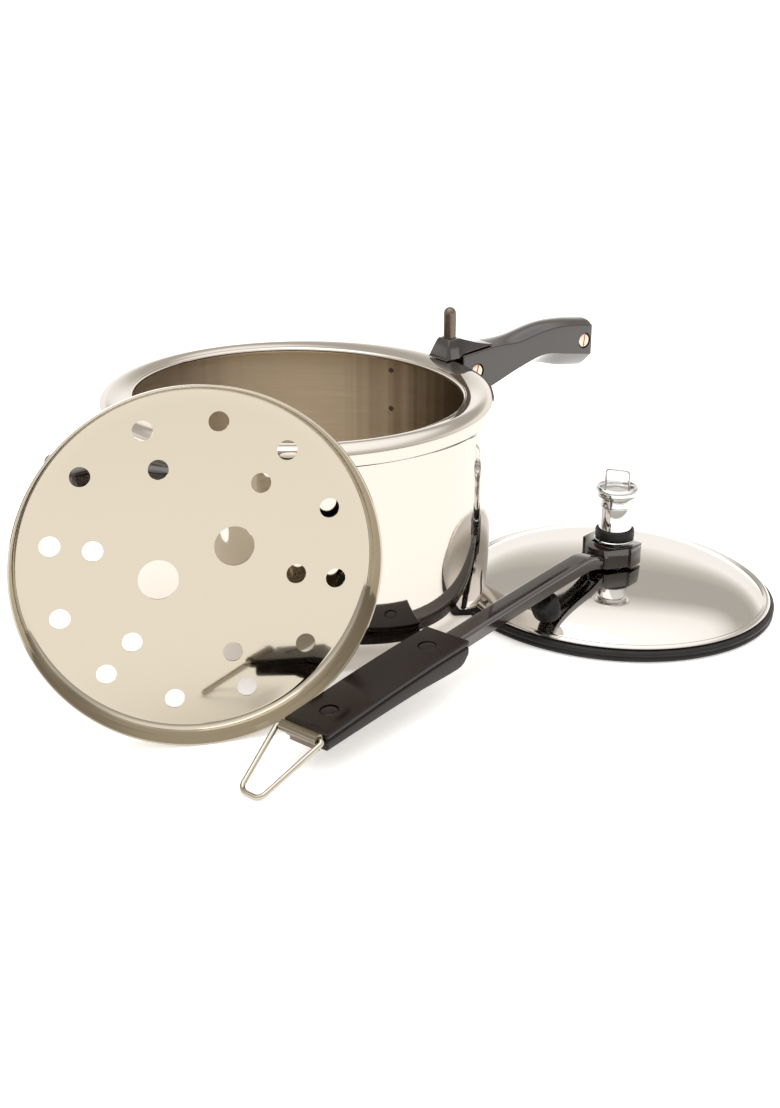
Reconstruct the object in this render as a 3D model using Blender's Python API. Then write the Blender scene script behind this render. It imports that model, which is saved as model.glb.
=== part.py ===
"""Stovetop pressure cooker, opened: vessel, inner lid with its lever and weight, and a perforated grid.

Metres, +Z up. The origin is on the vessel's axis at floor level, +X is to the right, +Y to the back.
The lid lies on the floor at the right and the grid leans on the vessel's rim at the left.
"""
import math

import bmesh
import bpy
from mathutils import Matrix, Vector

MM = 0.001

# Clearances and facets
SEAT_GAP = 0.3 * MM
ROUND_STEPS = 72
SMALL_STEPS = 20
WIRE_SIDES = 12

# Vessel
VESSEL_RADIUS = 110.0 * MM
VESSEL_HEIGHT = 141.6 * MM
VESSEL_WALL = 1.6 * MM
VESSEL_CORNER = 27.0 * MM
VESSEL_DRAFT = 1.8 * MM
DRAFT_HEIGHT = 75.0 * MM
MOUTH_HALF_LONG = 97.2 * MM
MOUTH_HALF_SHORT = 89.6 * MM
RIM_BAND_STEP = 1.0 * MM
RIM_BAND_HEIGHT = 5.0 * MM
RIM_SHOULDER = 6.2 * MM
RIM_THICKNESS = 2.0 * MM
LIP_DEPTH = 3.6 * MM
BASE_PAD_RADIUS = 78.0 * MM
BASE_PAD_HEIGHT = 5.0 * MM
BASE_PAD_ROUND = 1.8 * MM

# Vessel handle, along +X of its own frame, heights above the floor
HANDLE_TURN = math.radians(37.0)
HANDLE_START_GAP = 0.8 * MM
HANDLE_END = 219.0 * MM
HANDLE_HALF_WIDTH = 9.75 * MM
HANDLE_ARRIS = 0.8 * MM
HANDLE_STATIONS = 15
HANDLE_TOP_LINE = ((113, 143.6), (135, 145.8), (155, 148.2), (180, 152.6), (197, 152.8), (219, 150.4))
HANDLE_SIDE_LINE = ((113, 115.6), (135, 121.6), (157, 129.2), (178, 134.4), (199, 131.6), (219, 128.3))
HANDLE_BELLY_LINE = ((113, 114.4), (135, 120.3), (157, 126.4), (178, 127.2), (199, 122.4), (219, 119.8))

# Bracket welded to the vessel, with a flat tang inside the handle
STRAP_HALF_ANGLE = math.radians(27.0)
STRAP_THICKNESS = 1.5 * MM
STRAP_LOW = 92.0 * MM
STRAP_HIGH = 129.0 * MM
STRAP_STEPS = 18
TANG_THICKNESS = 2.4 * MM
TANG_END = 216.5 * MM
TANG_LINE_LOW = ((113, 121.0), (138, 127.6), (172, 136.4), (216, 133.5))
TANG_LINE_HIGH = ((113, 138.6), (138, 140.0), (172, 142.6), (216, 142.8))

# Handle screws, across the handle
SCREW_PLACES = {"inner": (123.5 * MM, 132.4 * MM), "outer": (211.5 * MM, 138.2 * MM)}
SCREW_RADIUS = 2.0 * MM
SCREW_HEAD_RADIUS = 3.7 * MM
SCREW_HEAD_HEIGHT = 2.0 * MM
SCREW_RECESS = 2.6 * MM
SCREW_SLOT_WIDTH = 1.0 * MM
SCREW_SLOT_DEPTH = 0.9 * MM
NUT_RADIUS = 3.8 * MM
NUT_HEIGHT = 2.2 * MM

# Fulcrum block on the rim, and the guide pin in it
BLOCK_TIP = 100.8 * MM
BLOCK_CREST_START = 105.0 * MM
BLOCK_CREST_END = 114.2 * MM
BLOCK_END = 136.0 * MM
BLOCK_CREST_HEIGHT = 153.7 * MM
BLOCK_HALF_WIDTH = 8.6 * MM
BLOCK_CREST_HALF_WIDTH = 5.6 * MM
BLOCK_TIP_HEIGHT = 1.6 * MM
BLOCK_END_HEIGHT = 1.2 * MM
PIN_PLACE = 109.4 * MM
PIN_RADIUS = 3.75 * MM
PIN_TOP = 172.0 * MM
PIN_SEAT_DEPTH = 7.5 * MM

# Lid, +X of its own frame runs toward the grip
LID_CENTRE = Vector((187.3 * MM, 31.5 * MM, 0.0))
LEVER_TURN = math.radians(230.1)
GASKET_HALF_LONG = 98.6 * MM
GASKET_HALF_SHORT = 91.6 * MM
GASKET_WIDTH = 8.2 * MM
GASKET_HEIGHT = 7.0 * MM
GASKET_RIB = 1.0 * MM
LID_WALL = 1.4 * MM
LID_CROWN = 24.5 * MM
DOME_FULLNESS = 2.4
LID_TROUGH_HEIGHT = 8.4 * MM
LID_TROUGH_INSET = 11.5 * MM
LID_BEAD_INSET = 6.2 * MM
LID_BEAD_HEIGHT = 10.6 * MM
LID_EDGE_INSET = 2.6 * MM
LID_SKIRT_LOW = 2.0 * MM
DOME_RINGS = 7

# Hub on the lid's crown, vent tube through it
HUB_HALF_WIDTH = 9.4 * MM
HUB_HALF_LENGTH = 9.6 * MM
HUB_TOP = 35.6 * MM
HUB_EDGE = 1.5 * MM
TUBE_RADIUS = 5.0 * MM
TUBE_BORE = 1.6 * MM
TUBE_CUP_RADIUS = 6.1 * MM
TUBE_CUP_HEIGHT = 3.4 * MM
TUBE_STEM_RADIUS = 3.2 * MM
TUBE_STEM_TOP = 58.0 * MM
TUBE_TAIL = 6.4 * MM
VENT_NUT_RADIUS = 8.6 * MM
VENT_NUT_HEIGHT = 3.4 * MM

# Weight on the vent tube
WEIGHT_RADIUS = 9.9 * MM
WEIGHT_UPPER_RADIUS = 10.5 * MM
WEIGHT_STEP_HEIGHT = 20.4 * MM
WEIGHT_FLANGE_RADIUS = 13.1 * MM
WEIGHT_FLANGE_HEIGHT = 5.6 * MM
WEIGHT_HEIGHT = 32.4 * MM
WEIGHT_RECESS_RADIUS = 9.6 * MM
WEIGHT_RECESS_DEPTH = 2.6 * MM
WEIGHT_RING_RADIUS = 11.7 * MM
WEIGHT_RING_HEIGHT = 5.9 * MM
BAIL_HALF_WIDTH = 7.1 * MM
BAIL_WIRE = 0.65 * MM
BAIL_RISE = 12.0 * MM
BAIL_CORNER = 2.2 * MM
BAIL_TURN = math.radians(107.5)

# Safety valve under the lever
VALVE_EDGE_SPACE = 10.1 * MM
VALVE_RADIUS = 8.4 * MM
VALVE_HEIGHT = 9.5 * MM
VALVE_NECK = 3.0 * MM
VALVE_TAIL = 5.2 * MM
VALVE_NUT_RADIUS = 5.6 * MM
VALVE_NUT_HEIGHT = 2.6 * MM

# Lever, rocking on two stub pins in the hub; heights above the floor
PIVOT_HEIGHT = 30.6 * MM
CHEEK_THICKNESS = 7.4 * MM
CHEEK_HALF_LENGTH = 8.0 * MM
CHEEK_LOW = 26.0 * MM
CHEEK_HIGH = 37.6 * MM
YOKE_END = 21.0 * MM
YOKE_EDGE = 2.6 * MM
PIVOT_PIN_RADIUS = 2.5 * MM
PIVOT_PIN_DEPTH = 3.0 * MM
BAR_START = 21.3 * MM
DIMPLE_PLACES = {"inner": 181.0 * MM, "outer": 257.4 * MM}
BAR_PAST_SCREW = 19.0 * MM
BAR_END = DIMPLE_PLACES["inner"] + BAR_PAST_SCREW
BAR_HALF_WIDTH = 6.4 * MM
BAR_WALL = 1.6 * MM
BAR_ROUND = 1.4 * MM
BAR_STATIONS = 12
BAR_TOP_LINE = ((21, 34.4), (28, 36.8), (38, 38.0), (120, 33.2), (160, 30.3), (200, 27.0))
BAR_BOTTOM_LINE = ((21, 26.4), (28, 28.6), (38, 30.0), (120, 25.8), (160, 23.1), (200, 20.6))

# Grip at the lever's end, with a steel strip rolled round the loop's wire
GRIP_START = 163.0 * MM
GRIP_END = 275.0 * MM
GRIP_HALF_WIDTH = 14.3 * MM
GRIP_EDGE = 1.0 * MM
GRIP_STATIONS = 9
GRIP_CAP_THICKNESS = 3.0 * MM
GRIP_TOP_LINE = ((163, 33.5), (190, 32.0), (226, 29.0), (275, 23.8))
GRIP_BOTTOM_LINE = ((163, 25.6), (168, 20.4), (176, 19.2), (205, 18.8), (245, 16.6), (275, 14.6))
DIMPLE_RADIUS = 4.8 * MM
DIMPLE_DEPTH = 0.8 * MM
STRIP_SPACE = 3.0 * MM
STRIP_START = BAR_END + STRIP_SPACE
STRIP_HALF_WIDTH = 12.2 * MM
STRIP_THICKNESS = 1.2 * MM
ROLL_STEPS = 16
ROLL_ARC = math.radians(270.0)
LOOP_WIRE = 1.45 * MM
LOOP_TIP = 309.0 * MM
LOOP_TIP_HALF_WIDTH = 6.6 * MM
LOOP_CORNER = 5.0 * MM
LOOP_ROOT_CORNER = 1.8 * MM

# Grid, a shallow tray open toward the front, leaning on the vessel's rim
GRID_TURN = math.radians(14.8)
GRID_LEAN = math.radians(5.5)
GRID_SIDEWAYS = -76.0 * MM
GRID_FLAT_RADIUS = 84.6 * MM
GRID_WALL_RADIUS = 88.9 * MM
GRID_RIM_RADIUS = 91.2 * MM
GRID_DEPTH = 14.0 * MM
GRID_WALL = 0.9 * MM
HOLE_RADIUS = 5.05 * MM
LARGE_HOLE_RADIUS = 10.1 * MM
OUTER_HOLES = 12
OUTER_HOLE_CIRCLE = 71.5 * MM
OUTER_HOLE_FIRST = math.radians(77.8)
INNER_HOLES = 6
INNER_HOLE_CIRCLE = 50.9 * MM
INNER_HOLE_FIRST = math.radians(47.8)
LARGE_HOLES = 2
LARGE_HOLE_CIRCLE = 20.4 * MM
LARGE_HOLE_FIRST = math.radians(19.5)


# Scene and materials

def clear_scene():
    for old in list(bpy.data.objects):
        bpy.data.objects.remove(old, do_unlink=True)


def look(name, colour, roughness, metallic):
    material = bpy.data.materials.new(name)
    material.use_nodes = True
    shader = material.node_tree.nodes["Principled BSDF"]
    shader.inputs["Base Color"].default_value = (*colour, 1.0)
    shader.inputs["Roughness"].default_value = roughness
    shader.inputs["Metallic"].default_value = metallic
    material.diffuse_color = (*colour, 1.0)
    return material


def make_looks():
    return {
        "steel": look("polished_steel", (0.78, 0.77, 0.75), 0.12, 1.0),
        "brushed": look("brushed_steel", (0.62, 0.60, 0.57), 0.35, 1.0),
        "moulding": look("black_moulding", (0.02, 0.02, 0.022), 0.3, 0.0),
        "rubber": look("black_rubber", (0.015, 0.015, 0.015), 0.7, 0.0),
        "brass": look("brass", (0.75, 0.58, 0.36), 0.25, 1.0),
    }


def frame_at(name, location, turn=0.0, parent=None):
    frame = bpy.data.objects.new(name, None)
    bpy.context.collection.objects.link(frame)
    frame.location = location
    frame.rotation_euler = (0.0, 0.0, turn)
    frame.parent = parent
    return frame


# Shapes

def curve_through(points, station):
    """Height of a smooth line through (station, height) points given in millimetres."""
    stations = [point[0] * MM for point in points]
    heights = [point[1] * MM for point in points]
    last = len(points) - 1
    slopes = []
    for k in range(last + 1):
        before = max(k - 1, 0)
        after = min(k + 1, last)
        slopes.append((heights[after] - heights[before]) / (stations[after] - stations[before]))
    k = 0
    while k < last - 1 and station > stations[k + 1]:
        k += 1
    span = stations[k + 1] - stations[k]
    t = min(max((station - stations[k]) / span, 0.0), 1.0)
    rise = (2 * t ** 3 - 3 * t ** 2 + 1) * heights[k] + (3 * t ** 2 - 2 * t ** 3) * heights[k + 1]
    bend = (t ** 3 - 2 * t ** 2 + t) * span * slopes[k] + (t ** 3 - t ** 2) * span * slopes[k + 1]
    return rise + bend


def spread(first, last, count):
    return [first + (last - first) * k / (count - 1) for k in range(count)]


def ring(half_x, half_y, height, steps=ROUND_STEPS):
    turns = [2 * math.pi * k / steps for k in range(steps)]
    return [Vector((half_x * math.cos(turn), half_y * math.sin(turn), height)) for turn in turns]


def loft(bm, loops, closed=False):
    """Skin a row of loops that have the same number of points, and cap both ends unless it closes."""
    rows = [[bm.verts.new(point) for point in loop] for loop in loops]
    count = len(rows[0])
    spans = len(rows) if closed else len(rows) - 1
    for k in range(spans):
        here = rows[k]
        there = rows[(k + 1) % len(rows)]
        for i in range(count):
            j = (i + 1) % count
            bm.faces.new((here[i], here[j], there[j], there[i]))
    if not closed:
        bm.faces.new(rows[0])
        bm.faces.new(rows[-1])


def turned(bm, profile, steps=ROUND_STEPS, closed=False):
    """Turn (radius, height) points about Z."""
    loft(bm, [ring(radius, radius, height, steps) for radius, height in profile], closed)


def rod(bm, start, end, radius, steps=SMALL_STEPS):
    along = (end - start).normalized()
    side = along.orthogonal().normalized()
    other = along.cross(side)
    loops = []
    for middle in (start, end):
        turns = [2 * math.pi * k / steps for k in range(steps)]
        loops.append([middle + radius * (math.cos(t) * side + math.sin(t) * other) for t in turns])
    loft(bm, loops)


def plate(bm, outline, low, high, axis="Z"):
    """Extrude an outline of 2D points between two levels of the given axis."""
    loops = []
    for level in (low, high):
        if axis == "Z":
            loops.append([Vector((u, v, level)) for u, v in outline])
        else:
            loops.append([Vector((u, level, v)) for u, v in outline])
    loft(bm, loops)


def box(bm, low, high):
    outline = ((low[0], low[1]), (high[0], low[1]), (high[0], high[1]), (low[0], high[1]))
    plate(bm, outline, low[2], high[2])


def arc(centre, radius, start, end, count):
    turns = spread(math.radians(start), math.radians(end), count)
    return [(centre[0] + radius * math.cos(t), centre[1] + radius * math.sin(t)) for t in turns]


def finish(name, bm, material, parent, sharp=35.0):
    bmesh.ops.recalc_face_normals(bm, faces=bm.faces)
    mesh = bpy.data.meshes.new(name)
    bm.to_mesh(mesh)
    bm.free()
    mesh.materials.append(material)
    mesh.shade_smooth()
    mesh.set_sharp_from_angle(angle=math.radians(sharp))
    piece = bpy.data.objects.new(name, mesh)
    bpy.context.collection.objects.link(piece)
    piece.parent = parent
    return piece


def combine(piece, tool, operation):
    tool.hide_render = True
    tool.display_type = "WIRE"
    step = piece.modifiers.new(tool.name, "BOOLEAN")
    step.operation = operation
    step.solver = "EXACT"
    step.object = tool


def round_edges(piece, width, segments=2):
    step = piece.modifiers.new("edges", "BEVEL")
    step.width = width
    step.segments = segments
    step.limit_method = "ANGLE"
    step.angle_limit = math.radians(50.0)


def filleted(corners, radii, steps=5):
    """A closed path through 3D corners, each rounded by its own radius."""
    path = []
    count = len(corners)
    for k in range(count):
        corner = corners[k]
        back = (corners[k - 1] - corner).normalized()
        ahead = (corners[(k + 1) % count] - corner).normalized()
        half = back.angle(ahead) / 2
        reach = radii[k] / math.tan(half)
        start = corner + back * reach
        end = corner + ahead * reach
        centre = corner + (back + ahead).normalized() * radii[k] / math.sin(half)
        first = start - centre
        last = end - centre
        sweep = first.angle(last)
        for i in range(steps + 1):
            share = i / steps
            from_first = math.sin((1 - share) * sweep)
            from_last = math.sin(share * sweep)
            path.append(centre + (first * from_first + last * from_last) / math.sin(sweep))
    return path


def wire(bm, path, radius, closed):
    """Sweep a round wire along a path that lies in one plane."""
    count = len(path)
    middle = sum(path, Vector()) / count
    normal = (path[0] - middle).cross(path[count // 3] - middle).normalized()
    loops = []
    for k in range(count):
        before = path[k - 1] if closed or k > 0 else path[0]
        after = path[(k + 1) % count] if closed or k < count - 1 else path[k]
        along = (after - before).normalized()
        side = along.cross(normal).normalized()
        turns = [2 * math.pi * i / WIRE_SIDES for i in range(WIRE_SIDES)]
        loops.append([path[k] + radius * (math.cos(t) * side + math.sin(t) * normal) for t in turns])
    loft(bm, loops, closed)


# Vessel

def vessel_outer_profile():
    """(half long, half short, height) rings of the outside, from the base to the mouth's lip."""
    base = BASE_PAD_HEIGHT + SEAT_GAP
    corner_middle = VESSEL_RADIUS - VESSEL_DRAFT - VESSEL_CORNER
    band_radius = VESSEL_RADIUS + RIM_BAND_STEP
    band_top = VESSEL_HEIGHT - RIM_SHOULDER
    band_low = band_top - RIM_BAND_HEIGHT
    rings = []
    for radius, height in arc((corner_middle, base + VESSEL_CORNER), VESSEL_CORNER, -90, 0, 7):
        rings.append((radius, radius, height))
    for radius, height in (
            (VESSEL_RADIUS - 0.3 * VESSEL_DRAFT, 0.5 * (base + VESSEL_CORNER + DRAFT_HEIGHT)),
            (VESSEL_RADIUS, DRAFT_HEIGHT),
            (VESSEL_RADIUS, band_low - 0.6 * RIM_BAND_STEP),
            (band_radius, band_low),
            (band_radius, band_top)):
        rings.append((radius, radius, height))
    shoulder_middle = (band_radius - RIM_SHOULDER, VESSEL_HEIGHT - RIM_SHOULDER)
    for radius, height in arc(shoulder_middle, RIM_SHOULDER, 12, 90, 5):
        rings.append((radius, radius, height))
    crest = 0.5 * LIP_DEPTH
    rings.append((MOUTH_HALF_LONG + crest, MOUTH_HALF_SHORT + crest, VESSEL_HEIGHT))
    rings.append((MOUTH_HALF_LONG + 0.3 * crest, MOUTH_HALF_SHORT + 0.3 * crest, VESSEL_HEIGHT - 0.3 * crest))
    rings.append((MOUTH_HALF_LONG, MOUTH_HALF_SHORT, VESSEL_HEIGHT - crest))
    return rings


def vessel_inner_profile():
    """Rings of the inside, from under the lip to the middle of the floor."""
    floor = BASE_PAD_HEIGHT + SEAT_GAP + VESSEL_WALL
    inner = VESSEL_RADIUS - VESSEL_WALL
    corner = VESSEL_CORNER - VESSEL_WALL
    corner_middle = inner - VESSEL_DRAFT - corner
    lip = RIM_THICKNESS
    under_top = VESSEL_HEIGHT - RIM_THICKNESS
    shoulder = RIM_SHOULDER - 0.4 * RIM_THICKNESS
    rings = [
        (MOUTH_HALF_LONG + 0.2 * lip, MOUTH_HALF_SHORT + 0.2 * lip, VESSEL_HEIGHT - LIP_DEPTH),
        (MOUTH_HALF_LONG + lip, MOUTH_HALF_SHORT + lip, VESSEL_HEIGHT - LIP_DEPTH),
        (MOUTH_HALF_LONG + 1.4 * lip, MOUTH_HALF_SHORT + 1.4 * lip, under_top),
    ]
    for radius, height in arc((inner - shoulder, under_top - shoulder), shoulder, 90, 0, 4):
        rings.append((radius, radius, height))
    rings.append((inner, inner, DRAFT_HEIGHT))
    middle_height = 0.5 * (floor + corner + DRAFT_HEIGHT)
    rings.append((inner - 0.3 * VESSEL_DRAFT, inner - 0.3 * VESSEL_DRAFT, middle_height))
    for radius, height in arc((corner_middle, floor + corner), corner, 0, -90, 7):
        rings.append((radius, radius, height))
    return rings


def make_vessel(looks, frame):
    """One pressed shell: round wall, a rim that turns in to an oval mouth, and the inside."""
    bm = bmesh.new()
    loops = []
    for half_long, half_short, height in vessel_outer_profile() + vessel_inner_profile():
        loops.append(ring(half_short, half_long, height))
    loft(bm, loops)
    return finish("vessel", bm, looks["steel"], frame, 28.0)


def make_base_pad(looks, frame):
    bm = bmesh.new()
    profile = [(BASE_PAD_RADIUS - BASE_PAD_ROUND, 0.0)]
    profile += arc((BASE_PAD_RADIUS - BASE_PAD_ROUND, BASE_PAD_ROUND), BASE_PAD_ROUND, -60, 0, 3)
    profile.append((BASE_PAD_RADIUS, BASE_PAD_HEIGHT))
    turned(bm, profile)
    return finish("base_pad", bm, looks["steel"], frame)


# Vessel handle and its bracket

def handle_start():
    return VESSEL_RADIUS + SEAT_GAP + STRAP_THICKNESS + HANDLE_START_GAP


def tang_outline(reach, clearance):
    """Side view of the tang from the strap to its end, grown by a clearance."""
    start = VESSEL_RADIUS + SEAT_GAP + 0.5 * STRAP_THICKNESS - reach
    end = TANG_END + clearance
    stations = spread(start, end, 9)
    low = [(station, curve_through(TANG_LINE_LOW, station) - clearance) for station in stations]
    high = [(station, curve_through(TANG_LINE_HIGH, station) + clearance) for station in reversed(stations)]
    return low + high


def make_handle_bracket(looks, frame):
    """A strap that hugs the vessel's wall, with the tang standing out of it."""
    bm = bmesh.new()
    inner = VESSEL_RADIUS + SEAT_GAP
    outer = inner + STRAP_THICKNESS
    loops = []
    for turn in spread(-STRAP_HALF_ANGLE, STRAP_HALF_ANGLE, STRAP_STEPS + 1):
        across = Vector((math.cos(turn), math.sin(turn), 0.0))
        corners = ((inner, STRAP_LOW), (outer, STRAP_LOW), (outer, STRAP_HIGH), (inner, STRAP_HIGH))
        loops.append([across * radius + Vector((0.0, 0.0, height)) for radius, height in corners])
    loft(bm, loops)
    bracket = finish("handle_bracket", bm, looks["brushed"], frame)
    bm = bmesh.new()
    plate(bm, tang_outline(0.0, 0.0), -0.5 * TANG_THICKNESS, 0.5 * TANG_THICKNESS, "Y")
    tang = finish("tang_shape", bm, looks["brushed"], frame)
    combine(bracket, tang, "UNION")
    bm = bmesh.new()
    for station, height in SCREW_PLACES.values():
        start = Vector((station, -TANG_THICKNESS, height))
        end = Vector((station, TANG_THICKNESS, height))
        rod(bm, start, end, SCREW_RADIUS + SEAT_GAP, 12)
    combine(bracket, finish("tang_holes", bm, looks["brushed"], frame), "DIFFERENCE")
    return bracket


def handle_section(station, inset):
    """Flat sides with a sharp top edge, over a half-round belly; the inset draws the end in."""
    half = HANDLE_HALF_WIDTH - inset
    top = curve_through(HANDLE_TOP_LINE, station) - inset
    side = curve_through(HANDLE_SIDE_LINE, station) + inset
    belly = curve_through(HANDLE_BELLY_LINE, station) + inset
    points = [(-half + HANDLE_ARRIS, top), (half - HANDLE_ARRIS, top), (half, top - HANDLE_ARRIS), (half, side)]
    for turn in spread(0.0, math.pi, 9)[1:-1]:
        points.append((half * math.cos(turn), side - (side - belly) * math.sin(turn)))
    points += [(-half, side), (-half, top - HANDLE_ARRIS)]
    return [Vector((station, across, height)) for across, height in points]


def make_body_handle(looks, frame):
    bm = bmesh.new()
    stations = spread(handle_start(), HANDLE_END - HANDLE_ARRIS, HANDLE_STATIONS)
    loops = [handle_section(station, 0.0) for station in stations]
    loops.append(handle_section(HANDLE_END, HANDLE_ARRIS))
    loft(bm, loops)
    handle = finish("body_handle", bm, looks["moulding"], frame)
    bm = bmesh.new()
    half_slot = 0.5 * TANG_THICKNESS + SEAT_GAP
    plate(bm, tang_outline(STRAP_THICKNESS, SEAT_GAP), -half_slot, half_slot, "Y")
    combine(handle, finish("tang_slot", bm, looks["moulding"], frame), "DIFFERENCE")
    bm = bmesh.new()
    outside = HANDLE_HALF_WIDTH + SCREW_RECESS
    for station, height in SCREW_PLACES.values():
        middle = Vector((station, 0.0, height))
        across = Vector((0.0, outside, 0.0))
        recess = Vector((0.0, HANDLE_HALF_WIDTH - SCREW_RECESS, 0.0))
        rod(bm, middle - across, middle - recess, SCREW_HEAD_RADIUS + 2 * SEAT_GAP)
        rod(bm, middle + recess, middle + across, NUT_RADIUS + 2 * SEAT_GAP)
    combine(handle, finish("screw_recesses", bm, looks["moulding"], frame), "DIFFERENCE")
    bm = bmesh.new()
    for station, height in SCREW_PLACES.values():
        middle = Vector((station, 0.0, height))
        across = Vector((0.0, outside, 0.0))
        rod(bm, middle - across, middle + across, SCREW_RADIUS + SEAT_GAP, 12)
    combine(handle, finish("screw_bores", bm, looks["moulding"], frame), "DIFFERENCE")
    return handle


def make_handle_screw(name, place, looks, frame):
    """Slotted cheese head on the near side, shank through the handle and the tang."""
    station, height = place
    head_seat = -(HANDLE_HALF_WIDTH - SCREW_RECESS) - SEAT_GAP
    head_top = head_seat - SCREW_HEAD_HEIGHT
    shank_end = HANDLE_HALF_WIDTH - SCREW_RECESS + SEAT_GAP + NUT_HEIGHT
    bm = bmesh.new()
    edge = 0.25 * SCREW_HEAD_HEIGHT
    profile = [(SCREW_HEAD_RADIUS - edge, head_top), (SCREW_HEAD_RADIUS, head_top + edge)]
    profile += [(SCREW_HEAD_RADIUS, head_seat), (SCREW_RADIUS, head_seat), (SCREW_RADIUS, shank_end)]
    turned(bm, profile, 16)
    upright = Matrix.Translation((station, 0.0, height)) @ Matrix.Rotation(math.radians(-90.0), 4, "X")
    bm.transform(upright)
    screw = finish("handle_screw_" + name, bm, looks["brass"], frame)
    bm = bmesh.new()
    half = 0.5 * SCREW_SLOT_WIDTH
    low = (-half, head_top - SCREW_SLOT_DEPTH, -2 * SCREW_HEAD_RADIUS)
    high = (half, head_top + SCREW_SLOT_DEPTH, 2 * SCREW_HEAD_RADIUS)
    box(bm, low, high)
    tilt = Matrix.Rotation(math.radians(18.0), 4, "Y")
    bm.transform(Matrix.Translation((station, 0.0, height)) @ tilt)
    combine(screw, finish("slot_" + name, bm, looks["brass"], frame), "DIFFERENCE")
    return screw


def make_nut(name, matrix, radius, height, bore, looks, frame):
    """Six flats round a bore, standing on the matrix's XY plane."""
    bm = bmesh.new()
    loops = []
    for reach, level in ((bore, 0.0), (0.0, 0.0), (0.0, height), (bore, height)):
        loop = []
        for k in range(12):
            turn = 2 * math.pi * k / 12
            flat = radius * math.cos(math.pi / 6)
            outside = radius if k % 2 == 0 else flat
            loop.append(Vector((math.cos(turn), math.sin(turn), 0.0)) * (reach or outside))
            loop[-1].z = level
        loops.append(loop)
    loft(bm, loops, closed=True)
    bm.transform(matrix)
    return finish(name, bm, looks["brass"], frame)


def make_handle_fasteners(looks, frame):
    for name, place in SCREW_PLACES.items():
        make_handle_screw(name, place, looks, frame)
        seat = HANDLE_HALF_WIDTH - SCREW_RECESS + SEAT_GAP
        upright = Matrix.Translation((place[0], seat, place[1])) @ Matrix.Rotation(math.radians(-90.0), 4, "X")
        make_nut("handle_nut_" + name, upright, NUT_RADIUS, NUT_HEIGHT, SCREW_RADIUS + SEAT_GAP, looks, frame)


def make_fulcrum_block(looks, frame):
    """Wedge over the rim and the handle's root; the lid's lever bears on its crest."""
    on_rim = VESSEL_HEIGHT + SEAT_GAP
    rim_edge = VESSEL_RADIUS + RIM_BAND_STEP - RIM_SHOULDER
    on_handle = curve_through(HANDLE_TOP_LINE, handle_start()) + SEAT_GAP
    end_low = curve_through(HANDLE_TOP_LINE, BLOCK_END) + SEAT_GAP
    stations = (
        (BLOCK_TIP, on_rim, on_rim + BLOCK_TIP_HEIGHT),
        (BLOCK_CREST_START, on_rim, BLOCK_CREST_HEIGHT),
        (rim_edge + 0.5 * RIM_SHOULDER, on_rim, BLOCK_CREST_HEIGHT),
        (BLOCK_CREST_END, on_handle + SEAT_GAP, BLOCK_CREST_HEIGHT),
        (BLOCK_END, end_low, end_low + BLOCK_END_HEIGHT),
    )
    bm = bmesh.new()
    loops = []
    for station, low, high in stations:
        full = BLOCK_CREST_HEIGHT - on_rim
        share = (high - low) / full
        crest = BLOCK_HALF_WIDTH + (BLOCK_CREST_HALF_WIDTH - BLOCK_HALF_WIDTH) * share
        corners = ((-BLOCK_HALF_WIDTH, low), (BLOCK_HALF_WIDTH, low), (crest, high), (-crest, high))
        loops.append([Vector((station, across, height)) for across, height in corners])
    loft(bm, loops)
    block = finish("fulcrum_block", bm, looks["moulding"], frame)
    bm = bmesh.new()
    seat = BLOCK_CREST_HEIGHT - PIN_SEAT_DEPTH
    rod(bm, Vector((PIN_PLACE, 0.0, seat)), Vector((PIN_PLACE, 0.0, PIN_TOP)), PIN_RADIUS + SEAT_GAP)
    combine(block, finish("pin_bore", bm, looks["moulding"], frame), "DIFFERENCE")
    return block


def make_guide_pin(looks, frame):
    bm = bmesh.new()
    seat = BLOCK_CREST_HEIGHT - PIN_SEAT_DEPTH + SEAT_GAP
    profile = [(PIN_RADIUS, seat)]
    profile += arc((0.0, PIN_TOP - PIN_RADIUS), PIN_RADIUS, 0, 80, 6)
    turned(bm, profile, SMALL_STEPS)
    pin = finish("guide_pin", bm, looks["brushed"], frame)
    pin.location.x = PIN_PLACE
    return pin


# Lid

def rim_ring(inset, height):
    return ring(GASKET_HALF_SHORT - inset, GASKET_HALF_LONG - inset, height)


def dome_height(share):
    """Height of the lid's upper face at a share of the way from the middle to the trough."""
    return LID_TROUGH_HEIGHT + (LID_CROWN - LID_TROUGH_HEIGHT) * (1.0 - share ** DOME_FULLNESS)


def dome_ring(share, drop):
    bore = TUBE_RADIUS + SEAT_GAP
    edge_x = GASKET_HALF_SHORT - LID_TROUGH_INSET
    edge_y = GASKET_HALF_LONG - LID_TROUGH_INSET
    half_x = bore + (edge_x - bore) * share
    half_y = bore + (edge_y - bore) * share
    return ring(half_x, half_y, dome_height(share) - drop)


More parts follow.
